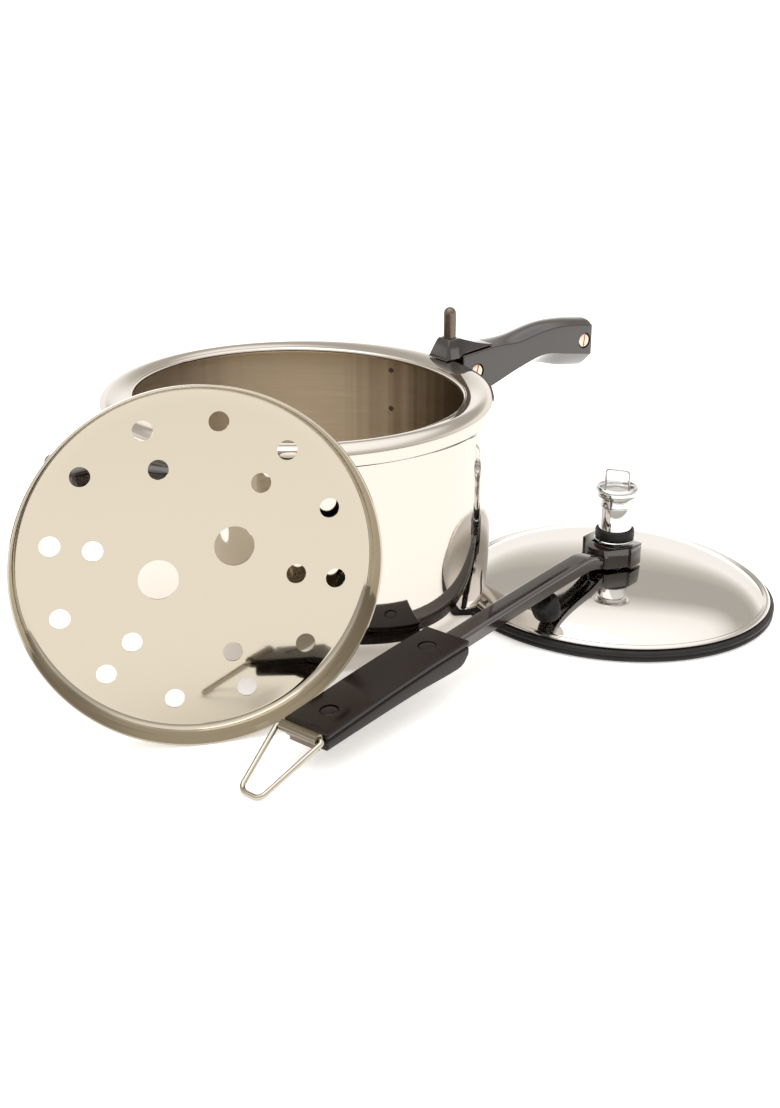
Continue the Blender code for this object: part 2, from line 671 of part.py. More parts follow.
def make_lid_shell(looks, frame):
    """Dome, trough, rolled bead over the gasket, and a skirt inside the gasket; a bore for the tube."""
    shares = spread(0.0, 1.0, DOME_RINGS)
    loops = [dome_ring(share, 0.0) for share in shares]
    over_gasket = GASKET_HEIGHT + SEAT_GAP
    bead = LID_BEAD_HEIGHT
    loops += [
        rim_ring(LID_BEAD_INSET + 2.4 * MM, bead - 0.8 * MM),
        rim_ring(LID_BEAD_INSET, bead),
        rim_ring(LID_BEAD_INSET - 2.4 * MM, bead - 0.9 * MM),
        rim_ring(LID_EDGE_INSET, over_gasket + 0.7 * LID_WALL),
        rim_ring(LID_EDGE_INSET + 0.6 * MM, over_gasket),
        rim_ring(GASKET_WIDTH + SEAT_GAP, over_gasket),
        rim_ring(GASKET_WIDTH + SEAT_GAP, LID_SKIRT_LOW),
        rim_ring(GASKET_WIDTH + SEAT_GAP + LID_WALL, LID_SKIRT_LOW),
        rim_ring(GASKET_WIDTH + SEAT_GAP + LID_WALL, LID_TROUGH_HEIGHT - 1.5 * LID_WALL),
    ]
    loops += [dome_ring(share, LID_WALL) for share in reversed(shares)]
    bm = bmesh.new()
    loft(bm, loops, closed=True)
    shell = finish("lid_shell", bm, looks["steel"], frame, 30.0)
    bm = bmesh.new()
    rod(bm, Vector((0.0, 0.0, -VALVE_TAIL)), Vector((0.0, 0.0, VALVE_HEIGHT)), VALVE_NECK + SEAT_GAP)
    bm.transform(valve_matrix())
    combine(shell, finish("valve_bore", bm, looks["steel"], frame), "DIFFERENCE")
    return shell


def make_gasket(looks, frame):
    """Rubber ring with two ribs round its outside."""
    height = GASKET_HEIGHT
    section = (
        (GASKET_WIDTH, 0.1 * height), (GASKET_WIDTH - 0.1 * height, 0.0), (0.28 * height, 0.0),
        (GASKET_RIB * 0.6, 0.14 * height), (0.0, 0.27 * height), (GASKET_RIB * 0.8, 0.42 * height),
        (GASKET_RIB, 0.52 * height), (GASKET_RIB * 0.2, 0.66 * height), (0.0, 0.78 * height),
        (GASKET_RIB * 1.2, 0.93 * height), (0.28 * height, height), (GASKET_WIDTH, height),
    )
    bm = bmesh.new()
    loft(bm, [rim_ring(inset, level) for inset, level in section], closed=True)
    return finish("lid_gasket", bm, looks["rubber"], frame, 50.0)


def make_lid_hub(looks, frame):
    """Block on the lid's crown with the tube's bore and a blind bore on each side for a stub pin."""
    bm = bmesh.new()
    low = LID_CROWN + SEAT_GAP
    box(bm, (-HUB_HALF_LENGTH, -HUB_HALF_WIDTH, low), (HUB_HALF_LENGTH, HUB_HALF_WIDTH, HUB_TOP))
    hub = finish("lid_hub", bm, looks["moulding"], frame)
    round_edges(hub, HUB_EDGE)
    bm = bmesh.new()
    rod(bm, Vector((0.0, 0.0, 0.0)), Vector((0.0, 0.0, 2 * HUB_TOP)), TUBE_RADIUS + SEAT_GAP)
    combine(hub, finish("tube_bore", bm, looks["moulding"], frame), "DIFFERENCE")
    bm = bmesh.new()
    for side in (-1.0, 1.0):
        start = Vector((0.0, side * (HUB_HALF_WIDTH - PIVOT_PIN_DEPTH - SEAT_GAP), PIVOT_HEIGHT))
        end = Vector((0.0, side * 2 * HUB_HALF_WIDTH, PIVOT_HEIGHT))
        rod(bm, start, end, PIVOT_PIN_RADIUS + SEAT_GAP, 24)
    combine(hub, finish("pivot_bores", bm, looks["moulding"], frame), "DIFFERENCE")
    return hub


def make_vent_tube(looks, frame):
    """Tube through lid and hub, with a cup on the hub that seats the weight, and a stem above it."""
    under_lid = dome_height(0.0) - LID_WALL
    cup_low = HUB_TOP + SEAT_GAP
    cup_top = cup_low + TUBE_CUP_HEIGHT
    profile = [
        (TUBE_BORE, under_lid - TUBE_TAIL), (TUBE_RADIUS, under_lid - TUBE_TAIL), (TUBE_RADIUS, cup_low),
        (TUBE_CUP_RADIUS, cup_low), (TUBE_CUP_RADIUS, cup_top - 0.2 * TUBE_CUP_HEIGHT),
        (0.92 * TUBE_CUP_RADIUS, cup_top), (TUBE_STEM_RADIUS, cup_top), (TUBE_STEM_RADIUS, TUBE_STEM_TOP),
        (TUBE_BORE, TUBE_STEM_TOP),
    ]
    bm = bmesh.new()
    turned(bm, profile, SMALL_STEPS, closed=True)
    tube = finish("vent_tube", bm, looks["steel"], frame)
    nut_low = under_lid - SEAT_GAP - VENT_NUT_HEIGHT
    make_nut("vent_nut", Matrix.Translation((0.0, 0.0, nut_low)), VENT_NUT_RADIUS, VENT_NUT_HEIGHT,
             TUBE_RADIUS + SEAT_GAP, looks, frame)
    return tube


def valve_matrix():
    """Frame on the dome under the lever, square to the dome's face."""
    edge = GASKET_HALF_SHORT - LID_TROUGH_INSET
    bore = TUBE_RADIUS + SEAT_GAP
    out = edge - VALVE_EDGE_SPACE
    share = (out - bore) / (edge - bore)
    rise = LID_CROWN - LID_TROUGH_HEIGHT
    slope = DOME_FULLNESS * share ** (DOME_FULLNESS - 1.0) * rise / (edge - bore)
    place = Matrix.Translation((out, 0.0, dome_height(share)))
    return place @ Matrix.Rotation(math.atan(slope), 4, "Y")


def make_safety_valve(looks, frame):
    """Round cap over the dome, neck through it and a nut below."""
    step = 0.15 * VALVE_HEIGHT
    profile = [
        (VALVE_NECK, -VALVE_TAIL), (VALVE_NECK, SEAT_GAP), (VALVE_RADIUS, SEAT_GAP + 0.1 * MM),
        (VALVE_RADIUS, VALVE_HEIGHT - 2 * step), (VALVE_RADIUS - step, VALVE_HEIGHT - 0.6 * step),
        (VALVE_RADIUS - 2.4 * step, VALVE_HEIGHT),
    ]
    bm = bmesh.new()
    turned(bm, profile, SMALL_STEPS)
    bm.transform(valve_matrix())
    valve = finish("safety_valve", bm, looks["moulding"], frame)
    below = -LID_WALL - 2 * SEAT_GAP - VALVE_NUT_HEIGHT
    nut_matrix = valve_matrix() @ Matrix.Translation((0.0, 0.0, below))
    make_nut("safety_valve_nut", nut_matrix, VALVE_NUT_RADIUS, VALVE_NUT_HEIGHT, VALVE_NECK + SEAT_GAP,
             looks, frame)
    return valve


# Weight

def weight_base():
    return HUB_TOP + SEAT_GAP + TUBE_CUP_HEIGHT + SEAT_GAP


def make_weight(looks, frame):
    """Turned body with a flange round a sunken top, and a blind bore from below for the stem."""
    top = WEIGHT_HEIGHT
    bore = TUBE_STEM_RADIUS + SEAT_GAP
    bore_top = TUBE_STEM_TOP - weight_base() + 4 * SEAT_GAP
    flange_low = top - WEIGHT_FLANGE_HEIGHT
    edge = 0.3 * WEIGHT_FLANGE_HEIGHT
    profile = [
        (0.3 * bore, bore_top + 0.5 * bore), (bore, bore_top), (bore, 0.0), (WEIGHT_RADIUS, 0.0),
        (WEIGHT_RADIUS, WEIGHT_STEP_HEIGHT), (WEIGHT_UPPER_RADIUS, WEIGHT_STEP_HEIGHT + 0.5 * edge),
        (WEIGHT_UPPER_RADIUS, flange_low), (WEIGHT_FLANGE_RADIUS - edge, flange_low),
        (WEIGHT_FLANGE_RADIUS, flange_low + edge), (WEIGHT_FLANGE_RADIUS, top - edge),
        (WEIGHT_FLANGE_RADIUS - edge, top), (WEIGHT_RECESS_RADIUS + 0.5 * edge, top),
        (WEIGHT_RECESS_RADIUS, top - WEIGHT_RECESS_DEPTH), (0.3 * bore, top - WEIGHT_RECESS_DEPTH),
    ]
    bm = bmesh.new()
    turned(bm, profile, 32)
    return finish("weight_body", bm, looks["steel"], frame)


def make_weight_ring(looks, frame):
    inner = WEIGHT_RADIUS + SEAT_GAP
    edge = 0.12 * WEIGHT_RING_HEIGHT
    profile = [
        (inner, 0.0), (WEIGHT_RING_RADIUS - edge, 0.0), (WEIGHT_RING_RADIUS, edge),
        (WEIGHT_RING_RADIUS, WEIGHT_RING_HEIGHT - edge), (WEIGHT_RING_RADIUS - edge, WEIGHT_RING_HEIGHT),
        (inner, WEIGHT_RING_HEIGHT),
    ]
    bm = bmesh.new()
    turned(bm, profile, 32, closed=True)
    return finish("weight_ring", bm, looks["moulding"], frame)


def make_bail(looks, frame):
    """Upright wire finger loop standing in the weight's sunken top."""
    foot = WEIGHT_HEIGHT - WEIGHT_RECESS_DEPTH + SEAT_GAP
    top = foot + BAIL_RISE
    path = [Vector((-BAIL_HALF_WIDTH, 0.0, foot))]
    for u, v in arc((-BAIL_HALF_WIDTH + BAIL_CORNER, top - BAIL_CORNER), BAIL_CORNER, 180, 90, 5):
        path.append(Vector((u, 0.0, v)))
    for u, v in arc((BAIL_HALF_WIDTH - BAIL_CORNER, top - BAIL_CORNER), BAIL_CORNER, 90, 0, 5):
        path.append(Vector((u, 0.0, v)))
    path.append(Vector((BAIL_HALF_WIDTH, 0.0, foot)))
    bm = bmesh.new()
    wire(bm, path, BAIL_WIRE, closed=False)
    bail = finish("bail", bm, looks["brushed"], frame)
    bail.rotation_euler.z = BAIL_TURN
    return bail


# Lever

def on_pivot(piece):
    """The lever's pieces are drawn at their heights above the floor and hang on the pivot's frame."""
    piece.location.z = -PIVOT_HEIGHT
    return piece


def make_lever_yoke(looks, frame):
    """Two cheeks beside the hub, joined in front of it to carry the bar."""
    outer = HUB_HALF_WIDTH + SEAT_GAP + CHEEK_THICKNESS
    bm = bmesh.new()
    box(bm, (-CHEEK_HALF_LENGTH, -outer, CHEEK_LOW), (YOKE_END, outer, CHEEK_HIGH))
    yoke = on_pivot(finish("lever_yoke", bm, looks["moulding"], frame))
    bm = bmesh.new()
    half_gap = HUB_HALF_WIDTH + SEAT_GAP
    gap_end = HUB_HALF_LENGTH + 4 * SEAT_GAP
    box(bm, (-2 * CHEEK_HALF_LENGTH, -half_gap, 0.0), (gap_end, half_gap, 2 * CHEEK_HIGH))
    combine(yoke, on_pivot(finish("hub_gap", bm, looks["moulding"], frame)), "DIFFERENCE")
    bm = bmesh.new()
    for side in (-1.0, 1.0):
        inner = side * (BAR_HALF_WIDTH + 1.6 * MM)
        corners = [(CHEEK_HALF_LENGTH, side * outer * 2), (CHEEK_HALF_LENGTH, side * (outer - 2.0 * MM))]
        corners += [(YOKE_END - 2.0 * MM, inner), (YOKE_END * 2, inner), (YOKE_END * 2, side * outer * 2)]
        plate(bm, corners, 0.0, 2 * CHEEK_HIGH)
    combine(yoke, on_pivot(finish("yoke_shoulders", bm, looks["moulding"], frame)), "DIFFERENCE")
    bm = bmesh.new()
    start = Vector((0.0, -2 * outer, PIVOT_HEIGHT))
    rod(bm, start, Vector((0.0, 2 * outer, PIVOT_HEIGHT)), PIVOT_PIN_RADIUS + SEAT_GAP, 24)
    combine(yoke, on_pivot(finish("pivot_holes", bm, looks["moulding"], frame)), "DIFFERENCE")
    round_edges(yoke, 0.5 * YOKE_EDGE)
    return yoke


def make_pivot_pins(looks, frame):
    outer = HUB_HALF_WIDTH + SEAT_GAP + CHEEK_THICKNESS
    for name, side in (("left", -1.0), ("right", 1.0)):
        bm = bmesh.new()
        start = Vector((0.0, side * (HUB_HALF_WIDTH - PIVOT_PIN_DEPTH), PIVOT_HEIGHT))
        end = Vector((0.0, side * (outer - SEAT_GAP), PIVOT_HEIGHT))
        rod(bm, start, end, PIVOT_PIN_RADIUS, 24)
        on_pivot(finish("pivot_pin_" + name, bm, looks["brushed"], frame))


def bar_section(station):
    """Channel, open below, with rounded shoulders."""
    top = curve_through(BAR_TOP_LINE, station)
    low = curve_through(BAR_BOTTOM_LINE, station)
    half = BAR_HALF_WIDTH
    inner = half - BAR_WALL
    roof = top - BAR_WALL
    points = [(-half, low), (-half, top - BAR_ROUND), (-half + 0.3 * BAR_ROUND, top - 0.3 * BAR_ROUND)]
    points += [(-half + BAR_ROUND, top), (half - BAR_ROUND, top), (half - 0.3 * BAR_ROUND, top - 0.3 * BAR_ROUND)]
    points += [(half, top - BAR_ROUND), (half, low), (inner, low), (inner, roof), (-inner, roof), (-inner, low)]
    return [Vector((station, across, height)) for across, height in points]


def make_lever_bar(looks, frame):
    bm = bmesh.new()
    loft(bm, [bar_section(station) for station in bar_stations()])
    bar = on_pivot(finish("lever_bar", bm, looks["moulding"], frame, 50.0))
    bm = bmesh.new()
    place = DIMPLE_PLACES["inner"]
    rod(bm, Vector((place, 0.0, 0.0)), Vector((place, 0.0, 2 * CHEEK_HIGH)), SCREW_RADIUS + SEAT_GAP, 12)
    combine(bar, on_pivot(finish("bar_hole", bm, looks["moulding"], frame)), "DIFFERENCE")
    return bar


def curve_stations(line, start, end, count):
    """Even stations from start to end, with the line's own points among them."""
    own = [point[0] * MM for point in line if start < point[0] * MM < end]
    even = [station for station in spread(start, end, count)]
    kept = [s for s in even if all(abs(s - other) > 2.0 * MM for other in own) or s in (start, end)]
    return sorted(kept + [s for s in own if min(abs(s - start), abs(s - end)) > 1.0 * MM])


def bar_stations():
    return curve_stations(BAR_TOP_LINE, BAR_START, BAR_END, BAR_STATIONS)


def grip_section(station, inset, low_line, high_line, offset_low, offset_high):
    half = GRIP_HALF_WIDTH - inset
    low = curve_through(low_line, station) + offset_low
    high = curve_through(high_line, station) + offset_high
    edge = min(GRIP_EDGE, 0.3 * (high - low))
    points = [(-half, low + edge), (-half + edge, low), (half - edge, low), (half, low + edge)]
    points += [(half, high - edge), (half - edge, high), (-half + edge, high), (-half, high - edge)]
    return [Vector((station, across, height)) for across, height in points]


def make_grip_cap(looks, frame):
    """Upper plate of the grip with two round dimples."""
    bm = bmesh.new()
    stations = spread(GRIP_START, GRIP_END, GRIP_STATIONS)
    loops = []
    for station in stations:
        loops.append(grip_section(station, 0.0, GRIP_TOP_LINE, GRIP_TOP_LINE, -GRIP_CAP_THICKNESS, 0.0))
    loft(bm, loops)
    cap = on_pivot(finish("grip_cap", bm, looks["moulding"], frame))
    bm = bmesh.new()
    for place in DIMPLE_PLACES.values():
        floor = curve_through(GRIP_TOP_LINE, place) - DIMPLE_DEPTH
        ahead = curve_through(GRIP_TOP_LINE, place + MM) - DIMPLE_DEPTH
        normal = Vector((floor - ahead, 0.0, MM)).normalized()
        middle = Vector((place, 0.0, floor))
        rod(bm, middle, middle + normal * GRIP_CAP_THICKNESS, DIMPLE_RADIUS)
    combine(cap, on_pivot(finish("dimples", bm, looks["moulding"], frame)), "DIFFERENCE")
    return cap


def make_grip_body(looks, frame):
    """Lower half of the grip, with a pocket for the bar and a slot for the strip."""
    drop = -GRIP_CAP_THICKNESS - SEAT_GAP
    bm = bmesh.new()
    stations = curve_stations(GRIP_BOTTOM_LINE, GRIP_START, GRIP_END, GRIP_STATIONS)
    loft(bm, [grip_section(s, 0.0, GRIP_BOTTOM_LINE, GRIP_TOP_LINE, 0.0, drop) for s in stations])
    body = on_pivot(finish("grip_body", bm, looks["moulding"], frame))
    bm = bmesh.new()
    half = BAR_HALF_WIDTH + SEAT_GAP
    loops = []
    inside = [station for station in bar_stations() if GRIP_START < station < BAR_END]
    for station in [GRIP_START - 2 * MM] + inside + [BAR_END + SEAT_GAP]:
        low = curve_through(BAR_BOTTOM_LINE, station) - SEAT_GAP
        high = curve_through(GRIP_TOP_LINE, station) + MM
        corners = ((-half, low), (half, low), (half, high), (-half, high))
        loops.append([Vector((station, across, height)) for across, height in corners])
    loft(bm, loops)
    combine(body, on_pivot(finish("bar_pocket", bm, looks["moulding"], frame)), "DIFFERENCE")
    bm = bmesh.new()
    half = STRIP_HALF_WIDTH + SEAT_GAP
    loops = []
    for station in [STRIP_START - SEAT_GAP] + strip_stations() + [GRIP_END + 2 * MM]:
        high = strip_level(min(max(station, STRIP_START), GRIP_END)) + SEAT_GAP
        low = high - STRIP_THICKNESS - 2 * SEAT_GAP
        corners = ((-half, low), (half, low), (half, high + MM), (-half, high + MM))
        loops.append([Vector((station, across, height)) for across, height in corners])
    loft(bm, loops)
    combine(body, on_pivot(finish("strip_slot", bm, looks["moulding"], frame)), "DIFFERENCE")
    bm = bmesh.new()
    for place in DIMPLE_PLACES.values():
        low = curve_through(GRIP_BOTTOM_LINE, place)
        rod(bm, Vector((place, 0.0, low - MM)), Vector((place, 0.0, low + SCREW_RECESS)),
            SCREW_HEAD_RADIUS + SEAT_GAP)
    combine(body, on_pivot(finish("grip_screw_recesses", bm, looks["moulding"], frame)), "DIFFERENCE")
    bm = bmesh.new()
    for place in DIMPLE_PLACES.values():
        low = curve_through(GRIP_BOTTOM_LINE, place)
        rod(bm, Vector((place, 0.0, low - MM)), Vector((place, 0.0, low + 30 * MM)), SCREW_RADIUS + SEAT_GAP, 12)
    combine(body, on_pivot(finish("grip_screw_bores", bm, looks["moulding"], frame)), "DIFFERENCE")
    return body


def make_grip_screws(looks, frame):
    """Screws from below through the grip and the metal in it, up to the cap."""
    for name, place in DIMPLE_PLACES.items():
        seat = curve_through(GRIP_BOTTOM_LINE, place) + SCREW_RECESS - SEAT_GAP
        head = seat - SCREW_HEAD_HEIGHT
        tip = curve_through(GRIP_TOP_LINE, place) - GRIP_CAP_THICKNESS - 2 * SEAT_GAP
        profile = [(SCREW_HEAD_RADIUS, head), (SCREW_HEAD_RADIUS, seat), (SCREW_RADIUS, seat), (SCREW_RADIUS, tip)]
        bm = bmesh.new()
        turned(bm, profile, 16)
        screw = on_pivot(finish("grip_screw_" + name, bm, looks["brass"], frame))
        screw.location.x = place


def strip_stations():
    return spread(STRIP_START, GRIP_END, 6)


def strip_level(station):
    """Height of the strip's upper face."""
    return curve_through(GRIP_TOP_LINE, station) - GRIP_CAP_THICKNESS - 2 * SEAT_GAP


def loop_axis():
    """Centre of the rolled end, where the loop turns."""
    inner = LOOP_WIRE + SEAT_GAP
    return Vector((GRIP_END + inner + STRIP_THICKNESS + SEAT_GAP, 0.0, strip_level(GRIP_END) + inner))


def make_end_strip(looks, frame):
    """Steel strip held in the grip, its free end rolled round the loop's wire."""
    inner = LOOP_WIRE + SEAT_GAP
    outer = inner + STRIP_THICKNESS
    axis = loop_axis()
    upper = [(station, strip_level(station)) for station in strip_stations()]
    lower = [(station, strip_level(station) - STRIP_THICKNESS) for station in strip_stations()]
    turns = [ROLL_ARC * k / ROLL_STEPS - math.radians(90.0) for k in range(ROLL_STEPS + 1)]
    inside = [(axis.x + inner * math.cos(t), axis.z + inner * math.sin(t)) for t in turns]
    outside = [(axis.x + outer * math.cos(t), axis.z + outer * math.sin(t)) for t in turns]
    outline = upper + inside + list(reversed(outside)) + list(reversed(lower))
    bm = bmesh.new()
    plate(bm, outline, -STRIP_HALF_WIDTH, STRIP_HALF_WIDTH, "Y")
    strip = on_pivot(finish("end_strip", bm, looks["steel"], frame))
    bm = bmesh.new()
    place = DIMPLE_PLACES["outer"]
    rod(bm, Vector((place, 0.0, 0.0)), Vector((place, 0.0, 2 * CHEEK_HIGH)), SCREW_RADIUS + SEAT_GAP, 12)
    combine(strip, on_pivot(finish("strip_hole", bm, looks["steel"], frame)), "DIFFERENCE")
    return strip


def make_locking_loop(looks, frame):
    """Wire through the rolled strip, out at both ends and down to a narrower tip."""
    root = STRIP_HALF_WIDTH + SEAT_GAP + 1.3 * LOOP_ROOT_CORNER
    tip_x = LOOP_TIP - loop_axis().x
    tip_z = LOOP_WIRE - loop_axis().z
    corners = [
        Vector((0.0, -root, 0.0)), Vector((0.0, root, 0.0)),
        Vector((tip_x, LOOP_TIP_HALF_WIDTH, tip_z)), Vector((tip_x, -LOOP_TIP_HALF_WIDTH, tip_z)),
    ]
    path = filleted(corners, [LOOP_ROOT_CORNER, LOOP_ROOT_CORNER, LOOP_CORNER, LOOP_CORNER])
    bm = bmesh.new()
    wire(bm, path, LOOP_WIRE, closed=True)
    return finish("locking_loop", bm, looks["brushed"], frame)


# Grid

def grid_matrix():
    """Leaned back and turned, its lowest rim point on the floor and its back just off the vessel's rim."""
    turn = Matrix.Rotation(GRID_TURN, 4, "Z")
    lean = Matrix.Rotation(math.radians(90.0) - GRID_LEAN, 4, "X")
    rotation = turn @ lean
    normal = rotation @ Vector((0.0, 0.0, 1.0))
    across = rotation @ Vector((1.0, 0.0, 0.0))
    height = GRID_RIM_RADIUS * math.cos(GRID_LEAN) - GRID_DEPTH * math.sin(GRID_LEAN)
    flat_normal = math.hypot(normal.x, normal.y)
    reach = max(half * flat_normal + level * normal.z for half, other, level in vessel_outer_profile())
    off_rim = (reach + SEAT_GAP + GRID_WALL - height * normal.z) / flat_normal
    forward = Vector((normal.x, normal.y, 0.0)).normalized()
    middle = forward * off_rim + across * GRID_SIDEWAYS
    return Matrix.Translation((middle.x, middle.y, height)) @ rotation


def make_grid(looks):
    """Shallow tray with a flared wall and two rings of holes round two large ones."""
    bend = GRID_WALL_RADIUS - GRID_FLAT_RADIUS
    half_depth = 0.58 * GRID_DEPTH
    profile = [
        (GRID_FLAT_RADIUS, 0.0), (GRID_FLAT_RADIUS + 0.55 * bend, 0.18 * bend),
        (GRID_WALL_RADIUS - 0.12 * bend, 0.62 * bend), (GRID_WALL_RADIUS, half_depth),
        (GRID_RIM_RADIUS - GRID_WALL, GRID_DEPTH), (GRID_RIM_RADIUS, GRID_DEPTH),
        (GRID_WALL_RADIUS + GRID_WALL, half_depth), (GRID_WALL_RADIUS + 0.8 * GRID_WALL, 0.5 * bend),
        (GRID_WALL_RADIUS - 0.3 * bend, -0.4 * GRID_WALL), (GRID_FLAT_RADIUS, -GRID_WALL),
    ]
    bm = bmesh.new()
    turned(bm, profile)
    grid = finish("grid", bm, looks["steel"], None)
    grid.matrix_world = grid_matrix()
    bm = bmesh.new()
    patterns = (
        (OUTER_HOLES, OUTER_HOLE_CIRCLE, OUTER_HOLE_FIRST, HOLE_RADIUS, 20),
        (INNER_HOLES, INNER_HOLE_CIRCLE, INNER_HOLE_FIRST, HOLE_RADIUS, 20),
        (LARGE_HOLES, LARGE_HOLE_CIRCLE, LARGE_HOLE_FIRST, LARGE_HOLE_RADIUS, 32),
    )
    for count, circle, first, radius, steps in patterns:
        for k in range(count):
            turn = first - 2 * math.pi * k / count
            middle = Vector((circle * math.cos(turn), circle * math.sin(turn), 0.0))
            through = Vector((0.0, 0.0, 3 * GRID_WALL))
            rod(bm, middle - through, middle + through, radius, steps)
    holes = finish("grid_holes", bm, looks["steel"], None)
    holes.matrix_world = grid_matrix()
    combine(grid, holes, "DIFFERENCE")
    return grid


def build():
    clear_scene()
    looks = make_looks()
    handle_frame = frame_at("handle_frame", (0.0, 0.0, 0.0), HANDLE_TURN)
    make_vessel(looks, handle_frame)
    make_base_pad(looks, handle_frame)
    make_handle_bracket(looks, handle_frame)
    make_body_handle(looks, handle_frame)
    make_handle_fasteners(looks, handle_frame)
    make_fulcrum_block(looks, handle_frame)
    make_guide_pin(looks, handle_frame)
    lid_frame = frame_at("lid_frame", LID_CENTRE, LEVER_TURN)
    make_lid_shell(looks, lid_frame)
    make_gasket(looks, lid_frame)
    make_lid_hub(looks, lid_frame)
    make_vent_tube(looks, lid_frame)
    make_safety_valve(looks, lid_frame)
    weight_frame = frame_at("weight_frame", (0.0, 0.0, weight_base()), 0.0, lid_frame)
    make_weight(looks, weight_frame)
    make_weight_ring(looks, weight_frame)
    make_bail(looks, weight_frame)
    pivot_frame = frame_at("pivot_frame", (0.0, 0.0, PIVOT_HEIGHT), 0.0, lid_frame)
    make_lever_yoke(looks, pivot_frame)
    make_pivot_pins(looks, pivot_frame)
    make_lever_bar(looks, pivot_frame)
    make_grip_cap(looks, pivot_frame)
    make_grip_body(looks, pivot_frame)
    make_grip_screws(looks, pivot_frame)
    make_end_strip(looks, pivot_frame)
    loop_place = loop_axis() - Vector((0.0, 0.0, PIVOT_HEIGHT))
    loop_frame = frame_at("loop_frame", loop_place, 0.0, pivot_frame)
    make_locking_loop(looks, loop_frame)
    make_grid(looks)


build()
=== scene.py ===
"""Studio dressing for the opened pressure cooker: polished vessel, lid and grid, black mouldings."""

import math

import bmesh
import bpy
from mathutils import Matrix, Vector


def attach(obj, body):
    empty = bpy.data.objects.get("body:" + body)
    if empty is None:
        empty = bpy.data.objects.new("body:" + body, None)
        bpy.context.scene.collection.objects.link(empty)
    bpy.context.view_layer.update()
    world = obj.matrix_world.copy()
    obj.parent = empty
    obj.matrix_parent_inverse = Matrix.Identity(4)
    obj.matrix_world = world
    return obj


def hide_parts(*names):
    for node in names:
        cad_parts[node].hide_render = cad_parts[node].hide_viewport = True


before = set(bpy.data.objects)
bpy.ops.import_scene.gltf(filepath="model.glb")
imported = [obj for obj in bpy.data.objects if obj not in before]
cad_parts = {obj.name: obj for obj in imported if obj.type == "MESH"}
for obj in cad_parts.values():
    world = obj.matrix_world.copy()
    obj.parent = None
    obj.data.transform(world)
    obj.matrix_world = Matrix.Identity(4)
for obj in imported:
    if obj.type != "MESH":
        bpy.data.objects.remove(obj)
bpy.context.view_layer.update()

MM = 0.001
MERGE = 0.002 * MM
FINE_ROUND = 192
ROUND = 160
WEIGHT_ROUND = 96
SMALL_ROUND = 48


def rotated(degrees, axis):
    return Matrix.Rotation(math.radians(degrees), 4, axis)


def moved(x, y, z):
    """A shift in millimetres."""
    return Matrix.Translation((x * MM, y * MM, z * MM))


# Places, the same as in the part's source, which has no helper handle

HANDLE_PLACE = rotated(37.0, "Z")
HELPER_PLACE = rotated(217.0, "Z")
LID_PLACE = moved(187.3, 31.5, 0.0) @ rotated(230.1, "Z")
GRID_PLACE = moved(-43.686, -132.176, 89.438) @ (rotated(14.8, "Z") @ rotated(84.5, "X"))


# Selecting and shaping

def pick(piece):
    bpy.ops.object.select_all(action="DESELECT")
    piece.select_set(True)
    bpy.context.view_layer.objects.active = piece


def named(name):
    """Name the piece that was just added."""
    piece = bpy.context.active_object
    piece.name = name
    return piece


def apply_place():
    bpy.ops.object.transform_apply(location=True, rotation=True, scale=True)


def arc(centre, radius, start, end, count):
    turns = [math.radians(start + (end - start) * k / (count - 1)) for k in range(count)]
    return [(centre[0] + radius * math.cos(t), centre[1] + radius * math.sin(t)) for t in turns]


def through(points, station):
    """Smooth line through (station, height) points in millimetres, as the part's source draws it."""
    last = len(points) - 1
    slopes = []
    for k in range(last + 1):
        before, after = points[max(k - 1, 0)], points[min(k + 1, last)]
        slopes.append((after[1] - before[1]) / (after[0] - before[0]))
    k = 0
    while k < last - 1 and station > points[k + 1][0]:
        k += 1
    span = points[k + 1][0] - points[k][0]
    t = min(max((station - points[k][0]) / span, 0.0), 1.0)
    rise = (2 * t ** 3 - 3 * t ** 2 + 1) * points[k][1]
    rise += (3 * t ** 2 - 2 * t ** 3) * points[k + 1][1]
    lean = (t ** 3 - 2 * t ** 2 + t) * slopes[k] + (t ** 3 - t ** 2) * slopes[k + 1]
    return rise + lean * span


def select_open_edges(piece):
    """Select the edges that have a face on one side only."""
    bpy.ops.mesh.select_all(action="DESELECT")
    shape = bmesh.from_edit_mesh(piece.data)
    for edge in shape.edges:
        if len(edge.link_faces) == 1:
            edge.select = True
    shape.select_flush(True)
    bmesh.update_edit_mesh(piece.data)


def cap_ring():
    """Close the selected ring with a fan round a middle point."""
    bpy.ops.mesh.edge_face_add()
    bpy.ops.mesh.poke()


def close_mesh(merge=False):
    """Merge doubled points if asked, turn every face outward and leave edit mode."""
    bpy.ops.mesh.select_all(action="SELECT")
    if merge:
        bpy.ops.mesh.remove_doubles(threshold=MERGE)
    bpy.ops.mesh.normals_make_consistent(inside=False)
    bpy.ops.object.mode_set(mode="OBJECT")


